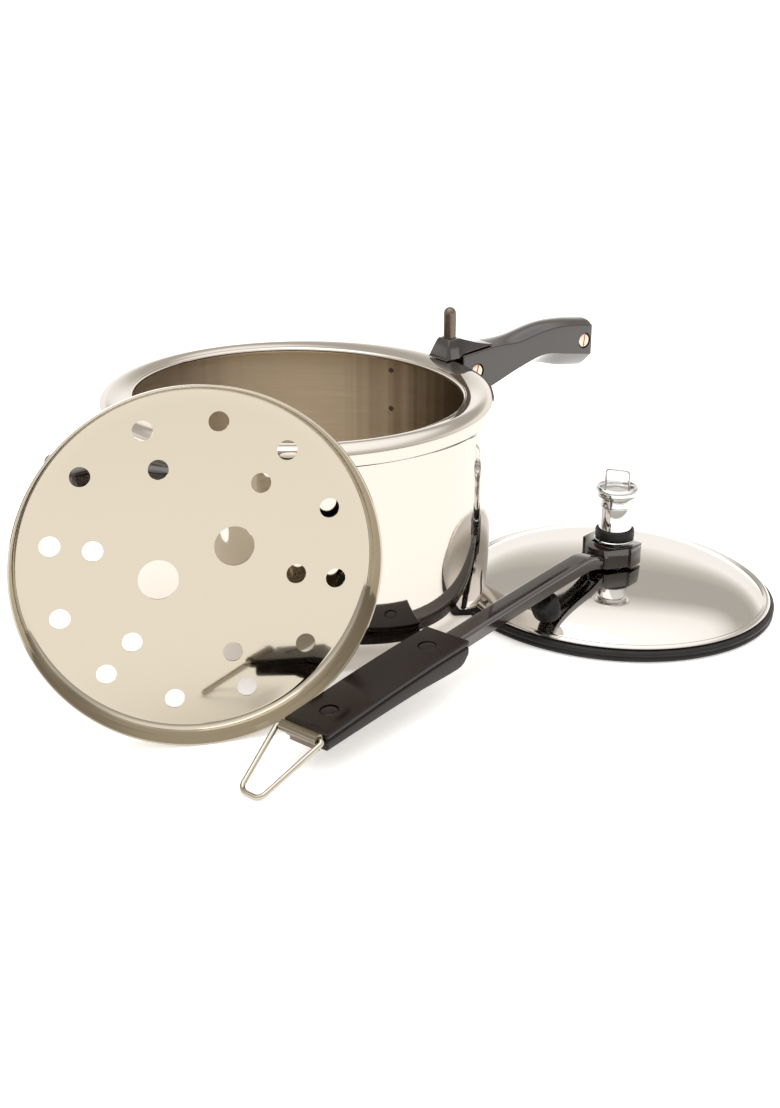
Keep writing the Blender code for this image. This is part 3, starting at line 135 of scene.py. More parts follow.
def raise_rings(name, rings, steps=ROUND, joined=False):
    """Extrude a circle ring by ring; a ring is (half x, half y, height) in millimetres.

    The two ends are capped, or, where joined is set, the last ring meets the first.
    """
    half_x, half_y, height = rings[0]
    bpy.ops.mesh.primitive_circle_add(vertices=steps, radius=1.0)
    piece = named(name)
    bpy.ops.object.mode_set(mode="EDIT")
    bpy.ops.mesh.select_all(action="SELECT")
    bpy.ops.transform.resize(value=(half_x * MM, half_y * MM, 1.0))
    bpy.ops.transform.translate(value=(0.0, 0.0, height * MM))
    if not joined:
        cap_ring()
        select_open_edges(piece)
    for next_x, next_y, next_height in rings[1:]:
        rise = (0.0, 0.0, (next_height - height) * MM)
        bpy.ops.mesh.extrude_region_move(TRANSFORM_OT_translate={"value": rise})
        bpy.ops.transform.resize(value=(next_x / half_x, next_y / half_y, 1.0))
        half_x, half_y, height = next_x, next_y, next_height
    if not joined:
        cap_ring()
    close_mesh(merge=joined)
    return piece


def turned(name, profile, steps=SMALL_ROUND, joined=False):
    """A turned piece from (radius, height) points in millimetres."""
    return raise_rings(name, [(radius, radius, height) for radius, height in profile], steps, joined)


def draw_along(name, rows):
    """Extrude an outline from row to row, in millimetres, and close both ends."""
    rows = [[Vector(point) * MM for point in row] for row in rows]
    bpy.ops.mesh.primitive_circle_add(vertices=len(rows[0]), radius=1.0)
    piece = named(name)
    bpy.ops.object.mode_set(mode="EDIT")
    shape = bmesh.from_edit_mesh(piece.data)
    for vert, point in zip(shape.verts, rows[0]):
        vert.co = point
    bmesh.update_edit_mesh(piece.data)
    bpy.ops.mesh.select_all(action="SELECT")
    for here, there in zip(rows, rows[1:]):
        bpy.ops.mesh.extrude_region_move(TRANSFORM_OT_translate={"value": (0.0, 0.0, 0.0)})
        shape = bmesh.from_edit_mesh(piece.data)
        for vert in [v for v in shape.verts if v.select]:
            nearest = min(range(len(here)), key=lambda k: (here[k] - vert.co).length_squared)
            vert.co = there[nearest]
        bmesh.update_edit_mesh(piece.data)
    select_open_edges(piece)
    bpy.ops.mesh.fill_holes(sides=0)
    close_mesh()
    return piece


def at_station(station, outline):
    """Stand an (across, height) outline at its station along a bar."""
    return [(station, across, height) for across, height in outline]


def round_box(half, low, high, radius, steps=5, crown=0.0, crest=None):
    """Outline across a bar with rounded corners, counted round from the lower left.

    Its top may be crowned, or narrower than its base: crest is the top's half width.
    """
    crest = half if crest is None else crest
    corners = (
        (-half + radius, low + radius, 180), (half - radius, low + radius, 270),
        (crest - radius, high - radius, 0), (-crest + radius, high - radius, 90),
    )
    middle = 0.5 * (low + high)
    outline = []
    for corner_x, corner_y, start in corners:
        for across, height in arc((corner_x, corner_y), radius, start, start + 90, steps):
            share = crown * (1.0 - (across / half) ** 2)
            outline.append((across, height + share if height > middle else height))
    return outline


def rounded_end(outline, station, radius, leans):
    """Rows that draw in round the end of a bar, from an outline of (station, inset)."""
    turns = [math.radians(lean) for lean in leans]
    return [outline(station + radius * math.sin(t), radius - radius * math.cos(t)) for t in turns]


def box(name, low, high):
    """A cube at its size and place, in millimetres."""
    bpy.ops.mesh.primitive_cube_add(size=1.0)
    piece = named(name)
    piece.scale = [(high[k] - low[k]) * MM for k in range(3)]
    piece.location = [0.5 * (high[k] + low[k]) * MM for k in range(3)]
    apply_place()
    return piece


def pin(name, start, end, radius, steps=SMALL_ROUND):
    """A plain cylinder between two points in millimetres, used as a cutter."""
    along = Vector(end) - Vector(start)
    middle = 0.5 * (Vector(end) + Vector(start)) * MM
    depth = along.length * MM
    bpy.ops.mesh.primitive_cylinder_add(vertices=steps, radius=radius * MM, depth=depth)
    piece = named(name)
    turn = Vector((0.0, 0.0, 1.0)).rotation_difference(along.normalized())
    piece.matrix_world = Matrix.Translation(middle) @ turn.to_matrix().to_4x4()
    apply_place()
    return piece


def work(piece, tool, operation="DIFFERENCE"):
    """Cut a piece with a tool for good, or keep what the two share."""
    pick(piece)
    step = piece.modifiers.new("work", "BOOLEAN")
    step.operation = operation
    step.solver = "EXACT"
    step.object = tool
    bpy.ops.object.modifier_apply(modifier=step.name)
    bpy.data.objects.remove(tool)
    return piece


def bevel(piece, width, segments, angle=40.0):
    pick(piece)
    step = piece.modifiers.new("edges", "BEVEL")
    step.width = width * MM
    step.segments = segments
    step.limit_method = "ANGLE"
    step.angle_limit = math.radians(angle)
    bpy.ops.object.modifier_apply(modifier=step.name)


def wire(name, points, radius, closed=False):
    """Bend a round wire along points in millimetres, and make it a mesh."""
    bpy.ops.curve.primitive_nurbs_path_add()
    piece = named(name)
    line = piece.data
    line.splines.clear()
    run = line.splines.new("POLY")
    run.points.add(len(points) - 1)
    for k, point in enumerate(points):
        run.points[k].co = (*(Vector(point) * MM), 1.0)
    run.use_cyclic_u = closed
    line.bevel_depth = radius * MM
    line.bevel_resolution = 5
    line.use_fill_caps = not closed
    line.resolution_u = 1
    pick(piece)
    bpy.ops.object.convert(target="MESH")
    bpy.ops.object.mode_set(mode="EDIT")
    close_mesh(merge=True)
    return piece


def bent(corners, radii, steps=10):
    """Round the corners of a path by their radii; a corner with none stays a point."""
    path = []
    for k, corner in enumerate(corners):
        corner = Vector(corner)
        if not radii[k]:
            path.append(corner)
            continue
        back = (Vector(corners[k - 1]) - corner).normalized()
        ahead = (Vector(corners[(k + 1) % len(corners)]) - corner).normalized()
        half = back.angle(ahead) / 2
        start = corner + back * radii[k] / math.tan(half)
        end = corner + ahead * radii[k] / math.tan(half)
        centre = corner + (back + ahead).normalized() * radii[k] / math.sin(half)
        first, last = start - centre, end - centre
        sweep = first.angle(last)
        for i in range(steps + 1):
            lean = math.sin((1 - i / steps) * sweep) * first + math.sin(i / steps * sweep) * last
            path.append(centre + lean / math.sin(sweep))
    return path


def settle(piece, place, body, finish, nodes, smooth):
    """Put a finished piece in its place for good, give it its finish, and hang it on its body."""
    pick(piece)
    piece.matrix_world = place @ piece.matrix_world
    apply_place()
    bpy.ops.object.shade_smooth_by_angle(angle=math.radians(smooth))
    piece.data.materials.clear()
    piece.data.materials.append(finish)
    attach(piece, body)
    if nodes:
        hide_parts(*nodes)
    return piece


# Nodes for finishes and the sky

MIX_FACTOR, MIX_FIRST, MIX_SECOND, MIX_RESULT = 0, 6, 7, 2


def colour(hex_code):
    """sRGB hex to the shader's linear colour."""
    parts = [int(hex_code[k:k + 2], 16) / 255 for k in (1, 3, 5)]
    linear = [p / 12.92 if p <= 0.04045 else ((p + 0.055) / 1.055) ** 2.4 for p in parts]
    return (*linear, 1.0)


def add(material, kind, settings=None, links=None):
    """Add a node, set its fields and sockets, and link outputs of other nodes into it."""
    tree = material.node_tree
    node = tree.nodes.new(kind)
    for key, value in (settings or {}).items():
        if isinstance(key, int) or key in node.inputs:
            node.inputs[key].default_value = value
        else:
            setattr(node, key, value)
    for key, (source, output) in (links or {}).items():
        tree.links.new(source.outputs[output], node.inputs[key])
    return node


def link(material, source, output, target, socket):
    material.node_tree.links.new(source.outputs[output], target.inputs[socket])


def new_finish(name, base, metallic, roughness):
    material = bpy.data.materials.new(name)
    material.use_nodes = True
    shader = material.node_tree.nodes["Principled BSDF"]
    shader.inputs["Base Color"].default_value = colour(base)
    shader.inputs["Metallic"].default_value = metallic
    shader.inputs["Roughness"].default_value = roughness
    return material, shader


def noise(material, source, scale, detail, grit=0.5):
    """A noise over the coordinates of a (node, output) source."""
    settings = {"Scale": scale, "Detail": detail, "Roughness": grit}
    return add(material, "ShaderNodeTexNoise", settings, {"Vector": source})


def vary_roughness(material, shader, source, low, high, start=0.3):
    """Let a noise swing the roughness between two values."""
    settings = {"From Min": start, "From Max": 0.7, "To Min": low, "To Max": high}
    rough = add(material, "ShaderNodeMapRange", settings, {"Value": (source, "Fac")})
    link(material, rough, "Result", shader, "Roughness")


def emboss(material, shader, source, strength, distance):
    """Raise a noise as a fine relief."""
    settings = {"Strength": strength, "Distance": distance}
    relief = add(material, "ShaderNodeBump", settings, {"Height": (source, "Fac")})
    link(material, relief, "Normal", shader, "Normal")


def two_tones(material, source, first, second):
    """Mix two colours by a (node, output) source."""
    settings = {"data_type": "RGBA", MIX_FIRST: colour(first), MIX_SECOND: colour(second)}
    return add(material, "ShaderNodeMix", settings, {MIX_FACTOR: source})


def tone_ramp(material, source, stops):
    """Colours at (place, hex) stops along a (node, output) source."""
    tones = add(material, "ShaderNodeValToRGB", links={"Fac": source})
    ramp = tones.color_ramp
    while len(ramp.elements) < len(stops):
        ramp.elements.new(0.5)
    for stop, (place, tint) in zip(ramp.elements, stops):
        stop.position = place
        stop.color = colour(tint)
    return tones


# Finishes

def polished_steel(name, base, low, high, shift, wave):
    """Buffed steel: a mirror with the slow unevenness of the buffing wheel and fine hairlines."""
    material, shader = new_finish(name, base, 1.0, low)
    coords = add(material, "ShaderNodeTexCoord")
    placed = add(material, "ShaderNodeMapping", {"Location": shift}, {"Vector": (coords, "Object")})
    # Buffing leaves cloudy patches some 25 mm wide
    cloud = noise(material, (placed, "Vector"), 40.0, 3.0)
    vary_roughness(material, shader, cloud, low, high, 0.35)
    # Hairlines from wiping, 0.3 mm apart and drawn a little coarser than real
    drawn_out = add(material, "ShaderNodeVectorMath",
                    {"operation": "MULTIPLY", 1: (60.0, 900.0, 2400.0)}, {0: (placed, "Vector")})
    hair = noise(material, (drawn_out, "Vector"), 1.0, 2.0)
    # Pressed sheet is never quite flat: slow waves about 30 mm long
    slow = noise(material, (placed, "Vector"), 30.0, 1.0)
    waves = add(material, "ShaderNodeBump", {"Strength": wave, "Distance": 0.0006},
                {"Height": (slow, "Fac")})
    fine = add(material, "ShaderNodeBump", {"Strength": 0.02, "Distance": 0.0001},
               {"Height": (hair, "Fac"), "Normal": (waves, "Normal")})
    link(material, fine, "Normal", shader, "Normal")
    return material


# Painted shade and highlight round the inner wall: dark and light tones set by the angle round the
# vessel
PAINTED_WALL_LIGHT_AND_SHADE = (
    (0.0, "#d8d4cf"), (0.5, "#6b635a"), (0.6, "#776f66"), (0.645, "#bab4ac"),
    (0.72, "#f6f4f1"), (0.82, "#f4f1ec"), (0.88, "#dcd6cf"), (1.0, "#d8d4cf"),
)


def satin_inside():
    """Satin steel inside the vessel: lines turned round it by an abrasive belt, brownish in shade, with
    painted light and shade in upright bands round the wall.
    """
    material, shader = new_finish("satin turned stainless steel", "#d8cfc2", 1.0, 0.42)
    # Belt lines run round the wall, so the gloss spreads up and down and shows as upright bands
    shader.inputs["Anisotropic"].default_value = 0.75
    shader.inputs["Anisotropic Rotation"].default_value = 0.25
    coords = add(material, "ShaderNodeTexCoord")
    parts = add(material, "ShaderNodeSeparateXYZ", links={"Vector": (coords, "Object")})
    turn = add(material, "ShaderNodeMath", {"operation": "ARCTAN2"},
               {0: (parts, "Y"), 1: (parts, "X")})
    reach = add(material, "ShaderNodeVectorMath", {"operation": "LENGTH"}, {0: (coords, "Object")})
    # Belt lines about 0.5 mm apart up the wall, 60 mm long round it
    lines = add(material, "ShaderNodeCombineXYZ")
    for socket, source, stretch in (("X", (turn, "Value"), 3.0), ("Y", (parts, "Z"), 1400.0),
                                    ("Z", (reach, "Value"), 900.0)):
        stretched = add(material, "ShaderNodeMath", {"operation": "MULTIPLY", 1: stretch}, {0: source})
        link(material, stretched, "Value", lines, socket)
    streak = noise(material, (lines, "Vector"), 1.0, 3.0, 0.6)
    tone = two_tones(material, (streak, "Fac"), "#dccdb6", "#f3e7d4")
    # Painted light and shade: the wall's colour is darkened and lightened by its angle round the
    # vessel, in broad and narrow upright bands
    bands = add(material, "ShaderNodeTexNoise",
                {"noise_dimensions": "1D", "Scale": 14.0, "Detail": 4.0}, {"W": (turn, "Value")})
    shift = add(material, "ShaderNodeMath", {"operation": "MULTIPLY_ADD", 1: 0.07, 2: 0.465},
                {0: (bands, "Fac")})
    round_share = add(material, "ShaderNodeMath", {"operation": "MULTIPLY_ADD", 1: 0.5 / math.pi},
                      {0: (turn, "Value"), 2: (shift, "Value")})
    shade = tone_ramp(material, (round_share, "Value"), PAINTED_WALL_LIGHT_AND_SHADE)
    # The painted light and shade fade out toward the vessel's floor
    up_the_wall = add(material, "ShaderNodeMapRange", {"From Min": 0.01, "From Max": 0.05},
                      {"Value": (parts, "Z")})
    tone_with_painted_light = add(material, "ShaderNodeMix", {"data_type": "RGBA", "blend_type": "MULTIPLY"},
                 {MIX_FACTOR: (up_the_wall, "Result"), MIX_FIRST: (tone, MIX_RESULT),
                  MIX_SECOND: (shade, "Color")})
    link(material, tone_with_painted_light, MIX_RESULT, shader, "Base Color")
    vary_roughness(material, shader, streak, 0.36, 0.48)
    round_wall = add(material, "ShaderNodeVectorMath",
                     {"operation": "CROSS_PRODUCT", 0: (0.0, 0.0, 1.0)}, {1: (coords, "Object")})
    link(material, round_wall, "Vector", shader, "Tangent")
    emboss(material, shader, streak, 0.2, 0.0002)
    return material


def drawn_steel(name, base, roughness, stretch):
    """Drawn, rolled or turned steel; its lines run the way it was worked."""
    material, shader = new_finish(name, base, 1.0, roughness)
    coords = add(material, "ShaderNodeTexCoord")
    lines = add(material, "ShaderNodeMapping", {"Scale": stretch}, {"Vector": (coords, "Object")})
    streak = noise(material, (lines, "Vector"), 1.0, 3.0)
    vary_roughness(material, shader, streak, roughness * 0.8, roughness * 1.3)
    emboss(material, shader, streak, 0.15, 0.0001)
    return material


def phenolic(name, base, low, high, speck, shine, coat=0.0):
    """Phenolic moulding from a polished mould: glossy black, a faint orange peel, fine specks."""
    material, shader = new_finish(name, base, 0.0, low)
    shader.inputs["IOR"].default_value = 1.6
    shader.inputs["Specular IOR Level"].default_value = shine
    shader.inputs["Coat Weight"].default_value = coat
    shader.inputs["Coat Roughness"].default_value = 0.05
    coords = (add(material, "ShaderNodeTexCoord"), "Object")
    vary_roughness(material, shader, noise(material, coords, 60.0, 3.0), low, high)
    specks = noise(material, coords, 1900.0, 1.0)
    shade = add(material, "ShaderNodeMapRange", {"From Min": 0.62, "From Max": 0.75},
                {"Value": (specks, "Fac")})
    tone = two_tones(material, (shade, "Result"), base, speck)
    link(material, tone, MIX_RESULT, shader, "Base Color")
    emboss(material, shader, noise(material, coords, 420.0, 2.0), 0.06, 0.0003)
    return material


def moulded_rubber():
    """Nitrile rubber, moulded matt, with a bloom that greys it in patches."""
    material, shader = new_finish("moulded nitrile rubber", "#171616", 0.0, 0.5)
    shader.inputs["Specular IOR Level"].default_value = 0.3
    coords = (add(material, "ShaderNodeTexCoord"), "Object")
    bloom = noise(material, coords, 90.0, 4.0)
    tone = two_tones(material, (bloom, "Fac"), "#0d0b0b", "#1b1817")
    link(material, tone, MIX_RESULT, shader, "Base Color")
    vary_roughness(material, shader, bloom, 0.36, 0.6)
    emboss(material, shader, noise(material, coords, 1500.0, 1.0), 0.1, 0.0002)
    return material


def turned_brass():
    """Pale turned brass, nearly nickel in tone, with the lathe's fine marks."""
    material, shader = new_finish("turned pale brass", "#d6c2b0", 1.0, 0.22)
    marks = noise(material, (add(material, "ShaderNodeTexCoord"), "Object"), 700.0, 3.0)
    tone = two_tones(material, (marks, "Fac"), "#c8ae9a", "#e6d6ca")
    link(material, tone, MIX_RESULT, shader, "Base Color")
    vary_roughness(material, shader, marks, 0.16, 0.34)
    emboss(material, shader, marks, 0.08, 0.0001)
    return material


# Shifts that put the middle of the noises at the middle of a piece, in metres
AT_VESSEL = (0.0, 0.0, 0.0)
AT_LID = (-0.1873, -0.0315, 0.0)
AT_GRID = (0.042, 0.131, -0.089)
# How close the lines of worked steel are along x, y and z
EVEN = (300.0, 300.0, 300.0)
ROLLED = (200.0, 200.0, 1500.0)
TURNED = (1200.0, 1200.0, 60.0)

vessel_mirror = polished_steel(
    "mirror polished stainless steel", "#c9c2ba", 0.035, 0.06, AT_VESSEL, 0.05)
lid_mirror = polished_steel("mirror polished lid steel", "#cecac4", 0.04, 0.07, AT_LID, 0.05)
grid_mirror = polished_steel("bright rolled sheet steel", "#b0a899", 0.05, 0.08, AT_GRID, 0.06)
weight_chrome = polished_steel("chromium plated brass", "#cfcfce", 0.03, 0.06, AT_LID, 0.0)
satin_steel = satin_inside()
wire_steel = drawn_steel("bright drawn wire", "#b2aca0", 0.14, EVEN)
pin_steel = drawn_steel("plain turned steel", "#6f655a", 0.34, TURNED)
strap_steel = drawn_steel("rolled strap steel", "#b9b4ad", 0.26, ROLLED)
strip_steel = drawn_steel("dull nickel strip", "#7f7768", 0.16, ROLLED)
handle_black = phenolic(
    "glossy phenolic moulding", "#1f1513", 0.07, 0.14, "#291e1c", 0.4, coat=0.7)
grip_black = phenolic("pressed phenolic grip", "#160d0b", 0.12, 0.2, "#241917", 0.18)
bar_black = phenolic("stoved black enamel", "#241b19", 0.07, 0.12, "#2c2321", 0.9)
rubber_black = moulded_rubber()
pale_brass = turned_brass()


# Vessel

WALL_OUT, WALL_IN = 110.0, 108.4
CORNER, CORNER_OUT, CORNER_IN = (81.2, 32.3), 27.0, 25.4
TAPER, TAPER_TOP = 1.8, 75.0
RIM_REACH, RIM_TOP, RIM_SLOPE = 104.8, 141.6, 1.5
LIP_SHORT, LIP_LONG, LIP_ROUND, LIP_LEVEL = 89.6, 97.2, 1.8, 138.3
# Limits that keep the satin finish off the outer wall, the underside and the lip
SATIN_REACH, SATIN_LOW, SATIN_HIGH = 108.9, 6.0, 137.6


def vessel_rings():
    """Up the outside, over the rolled rim to the oval lip, and down the inside."""
    rise = TAPER_TOP - CORNER[1]
    outside = [(30.0, 5.3), (60.0, 5.3)] + arc(CORNER, CORNER_OUT, -90, 0, 22)
    outside += [(WALL_OUT - TAPER * (1 - t * (2 - t)), CORNER[1] + rise * t)
                for t in [k / 8 for k in range(1, 9)]]
    outside += [(WALL_OUT, z) for z in (85.0, 100.0, 115.0, 128.6)]
    outside += [(110.05, 129.4), (110.2, 129.9), (110.7, 130.35), (110.94, 130.8),
                (111.0, 131.4), (111.0, 135.0)]
    outside += arc((RIM_REACH, RIM_TOP - 6.2), 6.2, 2, 90, 14)
    lip = [(RIM_REACH + (LIP_SHORT + LIP_ROUND - RIM_REACH) * t,
            RIM_REACH + (LIP_LONG + LIP_ROUND - RIM_REACH) * t, RIM_TOP - RIM_SLOPE * t ** 2)
           for t in [k / 12 for k in range(1, 13)]]
    lip += [(LIP_SHORT + r, LIP_LONG + r, LIP_LEVEL + z)
            for r, z in arc((LIP_ROUND, 0.0), LIP_ROUND, 75, 180, 7)[1:]]
    lip += [(LIP_SHORT + r, LIP_LONG + r, z)
            for r, z in ((0.0, 137.8), (0.2, 137.2), (0.8, 136.9), (2.0, 137.0), (2.8, 137.6))]
    lip += [(92.4 + (103.0 - 92.4) * t, 100.0 + (103.0 - 100.0) * t,
             137.9 + 1.7 * math.sin(0.5 * math.pi * t)) for t in [k / 6 for k in range(1, 7)]]
    inside = arc((103.0, 134.2), WALL_IN - 103.0, 84, 0, 8)
    inside += [(WALL_IN, z) for z in (125.0, 112.0, 100.0, 88.0, TAPER_TOP)]
    inside += [(WALL_IN - TAPER * t * t, TAPER_TOP - rise * t) for t in [k / 8 for k in range(1, 8)]]
    inside += arc(CORNER, CORNER_IN, 0, -90, 16) + [(60.0, 6.9), (30.0, 6.9)]
    return [(r, r, z) for r, z in outside] + lip + [(r, r, z) for r, z in inside]


vessel = raise_rings("polished_vessel", vessel_rings(), FINE_ROUND)
settle(vessel, HANDLE_PLACE, "pot", vessel_mirror, ["vessel"], 28.0)
vessel.data.materials.append(satin_steel)
for face in vessel.data.polygons:
    centre = face.center
    spread = math.hypot(centre.x, centre.y)
    inward = face.normal.x * centre.x + face.normal.y * centre.y < -0.02 * spread
    within = spread < SATIN_REACH * MM and SATIN_LOW * MM < centre.z < SATIN_HIGH * MM
    if within and (inward or face.normal.z > 0.5):
        face.material_index = 1

base_profile = [(20.0, 0.0), (50.0, 0.0), (76.0, 0.0)] + arc((76.2, 1.8), 1.8, -84, 0, 8)
base_profile += [(78.0, 3.2)] + arc((76.8, 3.8), 1.2, 0, 88, 6) + [(40.0, 5.0), (20.0, 5.0)]
base_pad = turned("base_disc", base_profile, ROUND)
settle(base_pad, Matrix.Identity(4), "pot", vessel_mirror, ["base_pad"], 30.0)


# Vessel handle

TOP_LINE = ((113, 143.6), (135, 145.8), (155, 148.2), (180, 152.6), (197, 152.8), (219, 150.4))
SIDE_LINE = ((113, 115.6), (135, 121.6), (157, 129.2), (178, 134.4), (199, 131.6), (219, 128.3))
BELLY_LINE = ((113, 114.4), (135, 120.3), (157, 126.4), (178, 127.2), (199, 122.4), (219, 119.8))
HANDLE_HALF, HANDLE_EDGE = 9.75, 0.9
ROOT_CROWN, MORE_CROWN = 0.35, 2.6
CROWN_START, CROWN_RUN = 136.0, 24.0
HANDLE_SCREWS = (("inner", 123.5, 132.4, 14.0), ("outer", 211.5, 138.2, 8.0))


def handle_outline(station, inset):
    """Flat sides and a dropped belly; the top is nearly flat at the root and crowned beyond it."""
    half = HANDLE_HALF - inset
    swell = min(max((station - CROWN_START) / CROWN_RUN, 0.0), 1.0)
    crown = ROOT_CROWN + MORE_CROWN * swell * swell * (3.0 - 2.0 * swell)
    top = through(TOP_LINE, station) - inset + ROOT_CROWN - crown
    side = through(SIDE_LINE, station) + inset
    belly = through(BELLY_LINE, station) + inset
    edge = top - HANDLE_EDGE
    flank = [edge + (side - edge) * k / 6 for k in range(1, 6)]
    points = [(across * half, top + crown * (1 - across * across))
              for across in (-0.75, -0.5, -0.25, 0.0, 0.25, 0.5, 0.75)]
    points += arc((half - HANDLE_EDGE, edge), HANDLE_EDGE, 90, 0, 5)
    points += [(half, height) for height in flank]
    points += [(half * across, side - (side - belly) * (1.0 - abs(across) ** 1.15))
               for across in [1.0 - k / 8 for k in range(17)]]
    points += [(-half, height) for height in reversed(flank)]
    points += arc((-half + HANDLE_EDGE, edge), HANDLE_EDGE, 180, 90, 5)
    return at_station(station, points)


rows = [handle_outline(112.6, 0.5), handle_outline(113.1, 0.0)]
rows += [handle_outline(114 + 103 * k / 50, 0.0) for k in range(51)]
rows += rounded_end(handle_outline, 217.0, 2.0, (18, 36, 54, 72, 86))
handle = draw_along("moulded_handle", rows)
for _, station, height, _ in HANDLE_SCREWS:
    for side in (-12.0, 7.0):
        work(handle, pin("recess", (station, side, height), (station, side + 5.0, height), 5.0))
settle(handle, HANDLE_PLACE, "pot", handle_black, ["body_handle"], 30.0)


def slotted_screw(name, head):
    """A screw with a slot across its head; its shank goes into a handle."""
    piece = turned(name, head + [(2.0, 1.95), (2.0, 18.0), (1.0, 18.0)])
    return work(piece, box("slot", (-0.55, -6.0, -1.0), (0.55, 6.0, 1.0)))


handle_head = [(1.0, 0.0), (3.8, 0.0)] + arc((3.7, 0.6), 0.6, -60, 0, 4) + [(4.3, 1.9)]
for name, station, height, tilt in HANDLE_SCREWS:
    screw = slotted_screw("slotted_screw_" + name, handle_head)
    turn = rotated(-90.0, "X") @ rotated(tilt, "Z")
    settle(screw, HANDLE_PLACE @ moved(station, -9.5, height) @ turn, "pot", pale_brass,
           ["handle_screw_" + name], 30.0)


# Spots where the handle's strap is welded, seen inside the wall

spot_profile = [(0.5, -0.1), (1.4, -0.1), (1.75, 0.05), (1.6, 0.25), (1.2, 0.3), (0.5, 0.1)]
for azimuth in (13.0, 61.0):
    for height in (101.0, 125.5):
        spot = turned("weld_spot", spot_profile, 24)
        place = rotated(azimuth, "Z") @ moved(WALL_IN, 0.0, height) @ rotated(-90.0, "Y")
        settle(spot, place, "pot", pin_steel, [], 50.0)


# Helper handle, on the far side behind the grid

HELPER_TOP = ((96, 126.0), (112, 126.6), (124, 127.4), (138, 127.9), (148, 126.4))
HELPER_LOW = ((96, 104.0), (112, 105.5), (124, 109.5), (138, 113.5), (148, 115.0))
HELPER_HALF = ((96, 52.0), (106, 45.0), (114, 35.5), (124, 25.5), (136, 19.6), (148, 16.6))
HELPER_SCREW_LEVEL = 120.5


def helper_outline(station, inset):
    low = through(HELPER_LOW, station) + inset
    high = through(HELPER_TOP, station) - inset
    half = through(HELPER_HALF, station) - inset
    return at_station(station, round_box(half, low, high, 0.3 * (high - low), 6, 1.4))


rows = [helper_outline(97.0 + 49.0 * k / 40, 0.0) for k in range(41)]
rows += rounded_end(helper_outline, 146.0, 3.0, (20, 40, 60, 80))
helper = draw_along("moulded_helper_handle", rows)
work(helper, pin("vessel_wall", (0.0, 0.0, 80.0), (0.0, 0.0, 150.0), WALL_OUT + 0.3, ROUND))
work(helper, pin("recess", (146.0, 0.0, HELPER_SCREW_LEVEL), (160.0, 0.0, HELPER_SCREW_LEVEL), 4.4))
settle(helper, HELPER_PLACE, "pot", handle_black, [], 30.0)
helper_screw = slotted_screw("helper_screw", [(1.0, 0.0), (3.2, 0.0), (3.8, 0.6), (3.8, 1.9)])
screw_place = HELPER_PLACE @ moved(147.0, 0.0, HELPER_SCREW_LEVEL) @ rotated(-90.0, "Y")
settle(helper_screw, screw_place, "pot", pale_brass, [], 30.0)


# Fulcrum block and guide pin

PIN_STATION = 109.4
BLOCK_BASE, BLOCK_CREST = 8.6, 5.6
BLOCK_ROWS = (
    (100.8, 141.9, 143.5), (101.4, 141.9, 145.6), (102.8, 141.9, 149.2), (104.4, 141.9, 152.6),
    (105.4, 141.9, 153.5), (107.0, 141.9, 153.7), (109.5, 141.9, 153.7), (111.5, 142.4, 153.7),
    (113.6, 144.1, 153.5), (115.6, 144.3, 152.7), (119.0, 144.7, 151.6), (124.0, 145.3, 149.9),
    (129.0, 145.8, 148.6), (133.0, 146.3, 147.8), (136.0, 146.6, 147.3),
)


def block_outline(station, low, high):
    """The block narrows toward its crest, and the more so the higher it stands."""
    crest = BLOCK_BASE + (BLOCK_CREST - BLOCK_BASE) * (high - low) / 12.0
    radius = min(0.9, 0.35 * (high - low))
    return at_station(station, round_box(BLOCK_BASE, low, high, radius, crest=crest))


block = draw_along("moulded_fulcrum", [block_outline(*row) for row in BLOCK_ROWS])
work(block, pin("pin_hole", (PIN_STATION, 0.0, 146.5), (PIN_STATION, 0.0, 180.0), 4.0))
settle(block, HANDLE_PLACE, "pot", handle_black, ["fulcrum_block"], 28.0)

pin_profile = [(1.5, 146.9), (3.2, 146.9), (3.75, 147.4), (3.75, 153.6), (3.75, 168.0)]
pin_profile += arc((0.0, 168.25), 3.75, 4, 84, 12)
guide_pin = turned("turned_guide_pin", pin_profile)
settle(guide_pin, HANDLE_PLACE @ moved(PIN_STATION, 0.0, 0.0), "pot", pin_steel,
       ["guide_pin"], 35.0)


# Lid

HALF_LONG, HALF_SHORT = 98.6, 91.6
DOME_INSET, TUBE_HOLE = 7.0, 5.3
SPRING = 4.2
# From the dome's edge round the rolled bead and the skirt that holds the gasket
LID_EDGE = (
    (6.6, 8.9), (6.2, 8.75), (5.8, 8.9), (5.4, 9.25), (5.0, 9.5), (4.5, 9.6), (4.0, 9.5),
    (3.5, 9.2), (3.1, 8.8), (2.8, 8.4), (2.6, 8.0), (2.7, 7.5), (3.2, 7.3), (8.5, 7.3),
    (8.5, 2.2), (8.7, 2.0), (9.7, 2.0), (9.9, 2.2), (9.9, 6.3),
)
GASKET_SECTION = (
    (8.2, 0.7), (7.5, 0.0), (3.2, 0.0), (1.9, 0.35), (0.9, 0.95), (0.3, 1.7), (0.2, 2.3),
    (0.5, 2.9), (1.0, 3.35), (1.0, 3.7), (0.4, 4.1), (0.1, 4.6), (0.0, 5.2), (0.2, 5.8),
    (0.8, 6.4), (1.7, 6.8), (2.8, 7.0), (8.2, 7.0), (8.2, 0.7),
)


def inset_rings(points):
    """Oval rings from (inset, height) points."""
    return [(HALF_SHORT - inset, HALF_LONG - inset, height) for inset, height in points]


def dome_ring(share, height):
    """A ring of the dome, a share of the way from the tube's hole to the dome's edge."""
    edge_x, edge_y = HALF_SHORT - DOME_INSET, HALF_LONG - DOME_INSET
    return (TUBE_HOLE + (edge_x - TUBE_HOLE) * share, TUBE_HOLE + (edge_y - TUBE_HOLE) * share,
            height)


def dome_top(share):
    """A slow arch that rounds down to the bead at its edge."""
    return 24.5 - 10.4 * share ** 2 - 4.9 * share ** 8


def dome_underside(share):
    return 23.1 - 16.1 * share ** 2.6


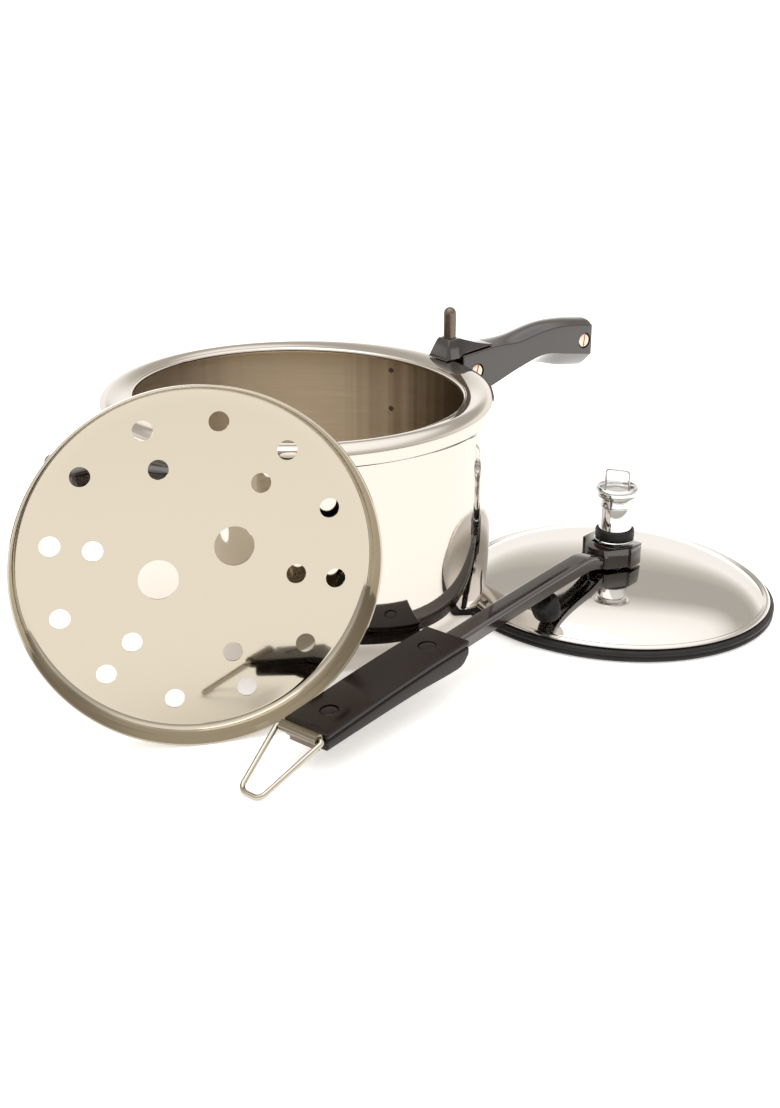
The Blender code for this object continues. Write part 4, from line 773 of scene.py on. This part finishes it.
def spring_up(piece):
    """The rim of a springy lid isn't level: its far side stands a few millimetres higher."""
    middle = LID_PLACE.translation.y
    for vert in piece.data.vertices:
        back = max(vert.co.y - middle, 0.0) / (HALF_LONG * MM)
        vert.co.z += SPRING * MM * back * back


lid_rings = [dome_ring(k / 32, dome_top(k / 32)) for k in range(33)] + inset_rings(LID_EDGE)
lid_rings += [dome_ring(k / 12, dome_underside(k / 12)) for k in range(12, -1, -1)]
lid = raise_rings("domed_lid", lid_rings + lid_rings[:1], FINE_ROUND, joined=True)
settle(lid, LID_PLACE, "lid", lid_mirror, ["lid_shell"], 32.0)
spring_up(lid)

gasket = raise_rings("moulded_gasket", inset_rings(GASKET_SECTION), ROUND, joined=True)
settle(gasket, LID_PLACE, "lid", rubber_black, ["lid_gasket"], 45.0)
spring_up(gasket)


# Hub, vent tube and safety valve

hub = box("hub_block", (-9.6, -9.4, 24.8), (9.6, 9.4, 35.6))
bevel(hub, 1.6, 4)
work(hub, pin("tube_hole", (0.0, 0.0, 0.0), (0.0, 0.0, 80.0), TUBE_HOLE))
settle(hub, LID_PLACE, "lid", handle_black, ["lid_hub"], 35.0)

tube_profile = [
    (1.6, 16.7), (4.6, 16.7), (5.0, 17.1), (5.0, 35.9), (6.1, 36.0), (6.2, 38.2), (11.6, 38.35),
    (12.1, 38.6), (12.1, 39.0), (11.7, 39.3), (3.2, 39.3), (3.2, 57.4), (2.7, 58.0), (1.6, 58.0),
    (1.6, 16.7),
]
tube = turned("turned_vent_tube", tube_profile, joined=True)
settle(tube, LID_PLACE, "lid", weight_chrome, ["vent_tube"], 35.0)

valve_profile = [
    (1.0, -5.0), (2.6, -5.0), (3.0, -4.6), (3.0, 0.35), (8.0, 0.4), (8.4, 0.8), (8.4, 6.2),
    (8.2, 7.1), (7.5, 8.1), (6.3, 9.1), (5.2, 9.5), (4.4, 9.2), (4.0, 8.6), (1.0, 8.6),
]
valve = turned("moulded_safety_valve", valve_profile)
settle(valve, LID_PLACE @ moved(70.0, 0.0, 14.6) @ rotated(25.0, "Y"), "lid", rubber_black,
       ["safety_valve"], 40.0)


# Weight

WEIGHT_PLACE = LID_PLACE @ moved(0.0, 0.0, 39.6)

weight_profile = [
    (1.05, 20.2), (3.5, 18.6), (3.5, 0.0), (9.4, 0.0), (9.9, 0.5), (9.9, 19.4), (9.7, 19.8),
    (9.7, 20.2), (10.1, 20.6), (10.5, 21.0), (10.5, 25.9), (10.7, 26.4), (11.6, 26.8),
    (12.6, 27.4), (13.0, 28.2), (13.1, 29.2), (13.1, 30.3), (12.9, 31.3), (12.3, 32.0),
    (11.5, 32.4), (10.7, 32.3), (10.1, 31.8), (9.7, 30.6), (9.6, 30.2), (8.8, 29.8),
    (4.0, 29.8), (2.0, 29.8),
]
weight = turned("turned_weight", weight_profile, WEIGHT_ROUND)
settle(weight, WEIGHT_PLACE, "weight", weight_chrome, ["weight_body"], 32.0)

ring_profile = [
    (10.2, 0.3), (10.6, 0.0), (11.1, 0.05), (11.6, 0.6), (11.7, 1.2), (11.7, 4.7), (11.5, 5.4),
    (11.0, 5.9), (10.5, 5.9), (10.2, 5.6), (10.2, 0.3),
]
ring = turned("moulded_weight_ring", ring_profile, WEIGHT_ROUND, joined=True)
settle(ring, WEIGHT_PLACE, "weight", rubber_black, ["weight_ring"], 35.0)

BAIL_REACH, BAIL_FOOT, BAIL_TOP = 7.1, 30.3, 42.1
bail_corners = [(-BAIL_REACH, 0.0, BAIL_FOOT), (-BAIL_REACH, 0.0, BAIL_TOP),
                (BAIL_REACH, 0.0, BAIL_TOP), (BAIL_REACH, 0.0, BAIL_FOOT)]
bail = wire("bent_bail", bent(bail_corners, [0.0, 2.4, 2.4, 0.0]), 0.6)
settle(bail, WEIGHT_PLACE @ rotated(107.5, "Z"), "weight", strap_steel,
       ["bail"], 50.0)


# Lever

yoke = box("yoke_block", (-6.0, -17.1, 26.0), (21.0, 17.1, 37.6))
work(yoke, box("hub_gap", (-30.0, -9.7, 0.0), (10.8, 9.7, 60.0)))
for side in (-1.0, 1.0):
    shoulder = ((8.0, 15.1), (19.0, 8.0), (60.0, 8.0), (60.0, 50.0), (8.0, 50.0))
    rows = [[(station, side * across, z) for station, across in shoulder] for z in (0.0, 60.0)]
    work(yoke, draw_along("shoulder", rows))
# Few steps, or the bevel after it breaks up
work(yoke, pin("round_ends", (3.0, 0.0, 20.0), (3.0, 0.0, 45.0), 18.0, 28), "INTERSECT")
bevel(yoke, 1.4, 4, 32.0)
settle(yoke, LID_PLACE, "lever", handle_black, ["lever_yoke"], 35.0)

BAR_TOP = ((21, 34.4), (28, 36.8), (38, 38.0), (120, 33.2), (160, 30.3), (200, 27.0))
BAR_LOW = ((21, 26.4), (28, 28.6), (38, 30.0), (120, 25.8), (160, 23.1), (200, 20.6))
BAR_HALF, BAR_WALL, BAR_ROUND = 6.4, 1.6, 2.2


def bar_outline(station):
    """A channel of bent sheet, open below."""
    top, low = through(BAR_TOP, station), through(BAR_LOW, station)
    bend, reach = top - BAR_ROUND, BAR_HALF - BAR_ROUND
    room, ceiling = BAR_HALF - BAR_WALL, top - BAR_WALL
    outline = [(-BAR_HALF, low), (-BAR_HALF, bend)] + arc((-reach, bend), BAR_ROUND, 165, 90, 6)
    outline += arc((reach, bend), BAR_ROUND, 90, 15, 6) + [(BAR_HALF, bend), (BAR_HALF, low)]
    outline += [(room, low), (room, top - 2.4), (4.0, ceiling)]
    outline += [(-4.0, ceiling), (-room, top - 2.4), (-room, low)]
    return at_station(station, outline)


bar = draw_along("enamelled_bar", [bar_outline(21.3 + 178.7 * k / 60) for k in range(61)])
settle(bar, LID_PLACE, "lever", bar_black, ["lever_bar"], 40.0)


# Grip

GRIP_TOP = ((163, 33.5), (190, 32.0), (226, 29.0), (275, 23.8))
GRIP_LOW = ((163, 25.6), (168, 20.4), (176, 19.2), (205, 18.8), (245, 16.6), (275, 14.6))
GRIP_HALF = 14.3
GRIP_STATIONS = [(163.0, 0.9), (163.3, 0.35), (163.9, 0.0)]
GRIP_STATIONS += [(164.5 + 109.5 * k / 40, 0.0) for k in range(41)] + [(274.6, 0.35), (275.0, 0.9)]
DIMPLES = (("inner", 181.0), ("outer", 257.4))


def grip_rows(low_line, low_offset, high_offset, radius, crown):
    rows = []
    for station, inset in GRIP_STATIONS:
        low = through(low_line, station) + low_offset + inset
        high = through(GRIP_TOP, station) + high_offset - inset
        corner = min(radius, 0.45 * (high - low))
        outline = round_box(GRIP_HALF - inset, low, high, corner, 6, crown)
        rows.append(at_station(station, outline))
    return rows


cap = draw_along("moulded_grip_cap", grip_rows(GRIP_TOP, -3.0, 0.0, 0.8, 0.3))
for _, station in DIMPLES:
    top = through(GRIP_TOP, station)
    work(cap, pin("dimple", (station, 0.0, top - 0.9), (station + 0.8, 0.0, top + 6.0), 5.0))
settle(cap, LID_PLACE, "lever", grip_black, ["grip_cap"], 30.0)

plug_profile = [(1.0, -1.4), (4.2, -1.4), (4.45, -1.0), (4.45, -0.55), (4.1, -0.25), (3.0, -0.12),
                (1.0, -0.05)]
for name, station in DIMPLES:
    plug = turned("grip_plug_" + name, plug_profile)
    place = LID_PLACE @ moved(station, 0.0, through(GRIP_TOP, station) + 0.05) @ rotated(4.5, "Y")
    settle(plug, place, "lever", grip_black, [], 35.0)

grip = draw_along("moulded_grip", grip_rows(GRIP_LOW, 0.0, -3.3, 1.6, 0.0))
work(grip, box("bar_pocket", (150.0, -6.8, 10.0), (200.3, 6.8, 40.0)))
settle(grip, LID_PLACE, "lever", grip_black, ["grip_body"], 30.0)

AXIS = (278.25, 21.95)
STRIP_THICK, ROLL_ROOM = 1.2, 1.75
strip_line = [(station, through(GRIP_TOP, station) - 3.6)
              for station in [203 + 72 * k / 8 for k in range(9)]]
strip_section = strip_line + arc(AXIS, ROLL_ROOM, -90, 180, 32)
strip_section += arc(AXIS, ROLL_ROOM + STRIP_THICK, 180, -90, 32)
strip_section += [(station, level - STRIP_THICK) for station, level in reversed(strip_line)]
strip = draw_along("rolled_end_strip", [[(station, across, level) for station, level in strip_section]
                                        for across in (-12.2, 12.2)])
settle(strip, LID_PLACE, "lever", strip_steel, ["end_strip"], 35.0)

tab = box("strip_tab", (275.3, -9.0, 14.4), (276.7, 10.0, 18.4))
bevel(tab, 0.35, 2)
settle(tab, LID_PLACE, "lever", pin_steel, [], 35.0)

WIRE_RADIUS, LOOP_ROOT, LOOP_TIP, TIP_SHIFT, TIP_STATION = 1.45, 14.84, 6.6, -2.9, 311.0
loop_corners = [
    (AXIS[0], -LOOP_ROOT, AXIS[1]), (AXIS[0], LOOP_ROOT, AXIS[1]),
    (TIP_STATION, LOOP_TIP + TIP_SHIFT, WIRE_RADIUS), (TIP_STATION, -LOOP_TIP + TIP_SHIFT, WIRE_RADIUS),
]
loop_path = bent(loop_corners, [1.8, 1.8, 5.0, 5.0])
loop = wire("bent_locking_loop", loop_path, WIRE_RADIUS, closed=True)
settle(loop, LID_PLACE, "loop", wire_steel, ["locking_loop"], 60.0)


# Grid

# Out over the tray's floor, up its wall and round the edge, and back underneath
grid_profile = [
    (30.0, 0.0), (60.0, 0.0), (80.0, 0.0),
    (84.6, 0.0), (85.6, 0.08), (86.5, 0.4), (87.3, 1.0), (88.0, 1.9), (88.5, 3.2), (88.8, 5.0),
    (88.9, 8.1), (89.3, 9.6), (89.8, 11.4), (90.3, 14.0), (90.75, 14.25), (91.2, 14.0),
    (90.7, 11.2), (90.2, 9.5), (89.8, 8.1), (89.7, 5.0), (89.4, 2.8), (88.9, 1.4), (88.1, 0.3),
    (87.0, -0.5), (85.8, -0.85), (84.6, -0.9), (60.0, -0.9), (30.0, -0.9),
]
# How many holes, the radius of their circle, the first one's angle and a hole's radius
HOLE_CIRCLES = ((12, 71.5, 77.8, 5.05), (6, 50.9, 47.8, 5.05), (2, 20.4, 19.5, 10.1))
grid = turned("pressed_grid", grid_profile, FINE_ROUND)
for count, circle, first, radius in HOLE_CIRCLES:
    for k in range(count):
        turn = math.radians(first - 360.0 * k / count)
        middle = (circle * math.cos(turn), circle * math.sin(turn))
        work(grid, pin("hole", (*middle, -5.0), (*middle, 5.0), radius))
settle(grid, GRID_PLACE, "grid", grid_mirror, ["grid"], 30.0)


# CAD nodes that keep their shape

kept = {
    "handle_bracket": strap_steel, "handle_nut_inner": pale_brass, "handle_nut_outer": pale_brass,
    "vent_nut": pale_brass, "safety_valve_nut": pale_brass, "pivot_pin_left": pin_steel,
    "pivot_pin_right": pin_steel, "grip_screw_inner": pale_brass, "grip_screw_outer": pale_brass,
}
for name, material in kept.items():
    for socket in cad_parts[name].material_slots:
        socket.material = material


# Studio

def studio_floor():
    """A pale paper sweep, so wide that it has no edge in view."""
    bpy.ops.mesh.primitive_plane_add(size=60.0, location=(0.0, 3.0, -0.0001))
    floor = named("paper_floor")
    material, shader = new_finish("backlit studio paper", "#fbfbfa", 0.0, 0.8)
    # The paper lies on a light table, which lifts the shadows
    shader.inputs["Emission Color"].default_value = colour("#fffdfa")
    shader.inputs["Emission Strength"].default_value = 0.44
    floor.data.materials.append(material)


def soft_light(name, place, target, size, power, tint):
    lamp = bpy.data.lights.new(name, "AREA")
    lamp.shape = "RECTANGLE"
    lamp.size, lamp.size_y = size
    lamp.energy = power
    lamp.color = colour(tint)[:3]
    holder = bpy.data.objects.new(name, lamp)
    bpy.context.collection.objects.link(holder)
    holder.location = place
    holder.rotation_euler = (Vector(target) - Vector(place)).to_track_quat("-Z", "Y").to_euler()


studio_floor()
soft_light("top_box", (-0.5, -0.3, 1.9), (0.05, 0.0, 0.0), (1.6, 1.6), 8.0, "#fffdfa")

# Tones from the horizon up to straight overhead
SKY_BEHIND = (
    (0.0, "#dddad6"), (0.25, "#e9e7e4"), (0.36, "#b9b5ae"), (0.44, "#a5a19b"),
    (0.62, "#a8a49e"), (0.78, "#f0eeec"), (1.0, "#ffffff"),
)
SKY_IN_FRONT = (
    (0.0, "#a7a29d"), (0.2, "#b9b5b0"), (0.45, "#cbc8c4"), (0.66, "#f4f3f1"),
    (0.84, "#fcfbfa"), (1.0, "#ffffff"),
)
world = bpy.data.worlds.new("studio")
world.use_nodes = True
bpy.context.scene.world = world
sky = world.node_tree.nodes["Background"]
# A pale sweep with a grey gap over it behind the table, a grey room in front that grows lighter
# upward, and a soft white ceiling over both
toward = add(world, "ShaderNodeTexCoord")
parts = add(world, "ShaderNodeSeparateXYZ", links={"Vector": (toward, "Generated")})
behind = tone_ramp(world, (parts, "Z"), SKY_BEHIND)
in_front = tone_ramp(world, (parts, "Z"), SKY_IN_FRONT)
ahead = add(world, "ShaderNodeMapRange", {"From Min": -0.45, "From Max": 0.5},
            {"Value": (parts, "Y")})
mixed = add(world, "ShaderNodeMix", {"data_type": "RGBA"},
            {MIX_FACTOR: (ahead, "Result"), MIX_FIRST: (in_front, "Color"),
             MIX_SECOND: (behind, "Color")})
link(world, mixed, MIX_RESULT, sky, "Color")
sky.inputs["Strength"].default_value = 1.71

camera = bpy.data.cameras.new("camera")
camera.lens = 50.13
camera.sensor_width = 36.0
camera.clip_start = 0.01
holder = bpy.data.objects.new("camera", camera)
bpy.context.collection.objects.link(holder)
holder.location = (51.8 * MM, -836.4 * MM, 378.7 * MM)
holder.rotation_euler = (math.radians(68.0), 0.0, 0.0)
bpy.context.scene.camera = holder
bpy.context.scene.view_settings.view_transform = "Standard"
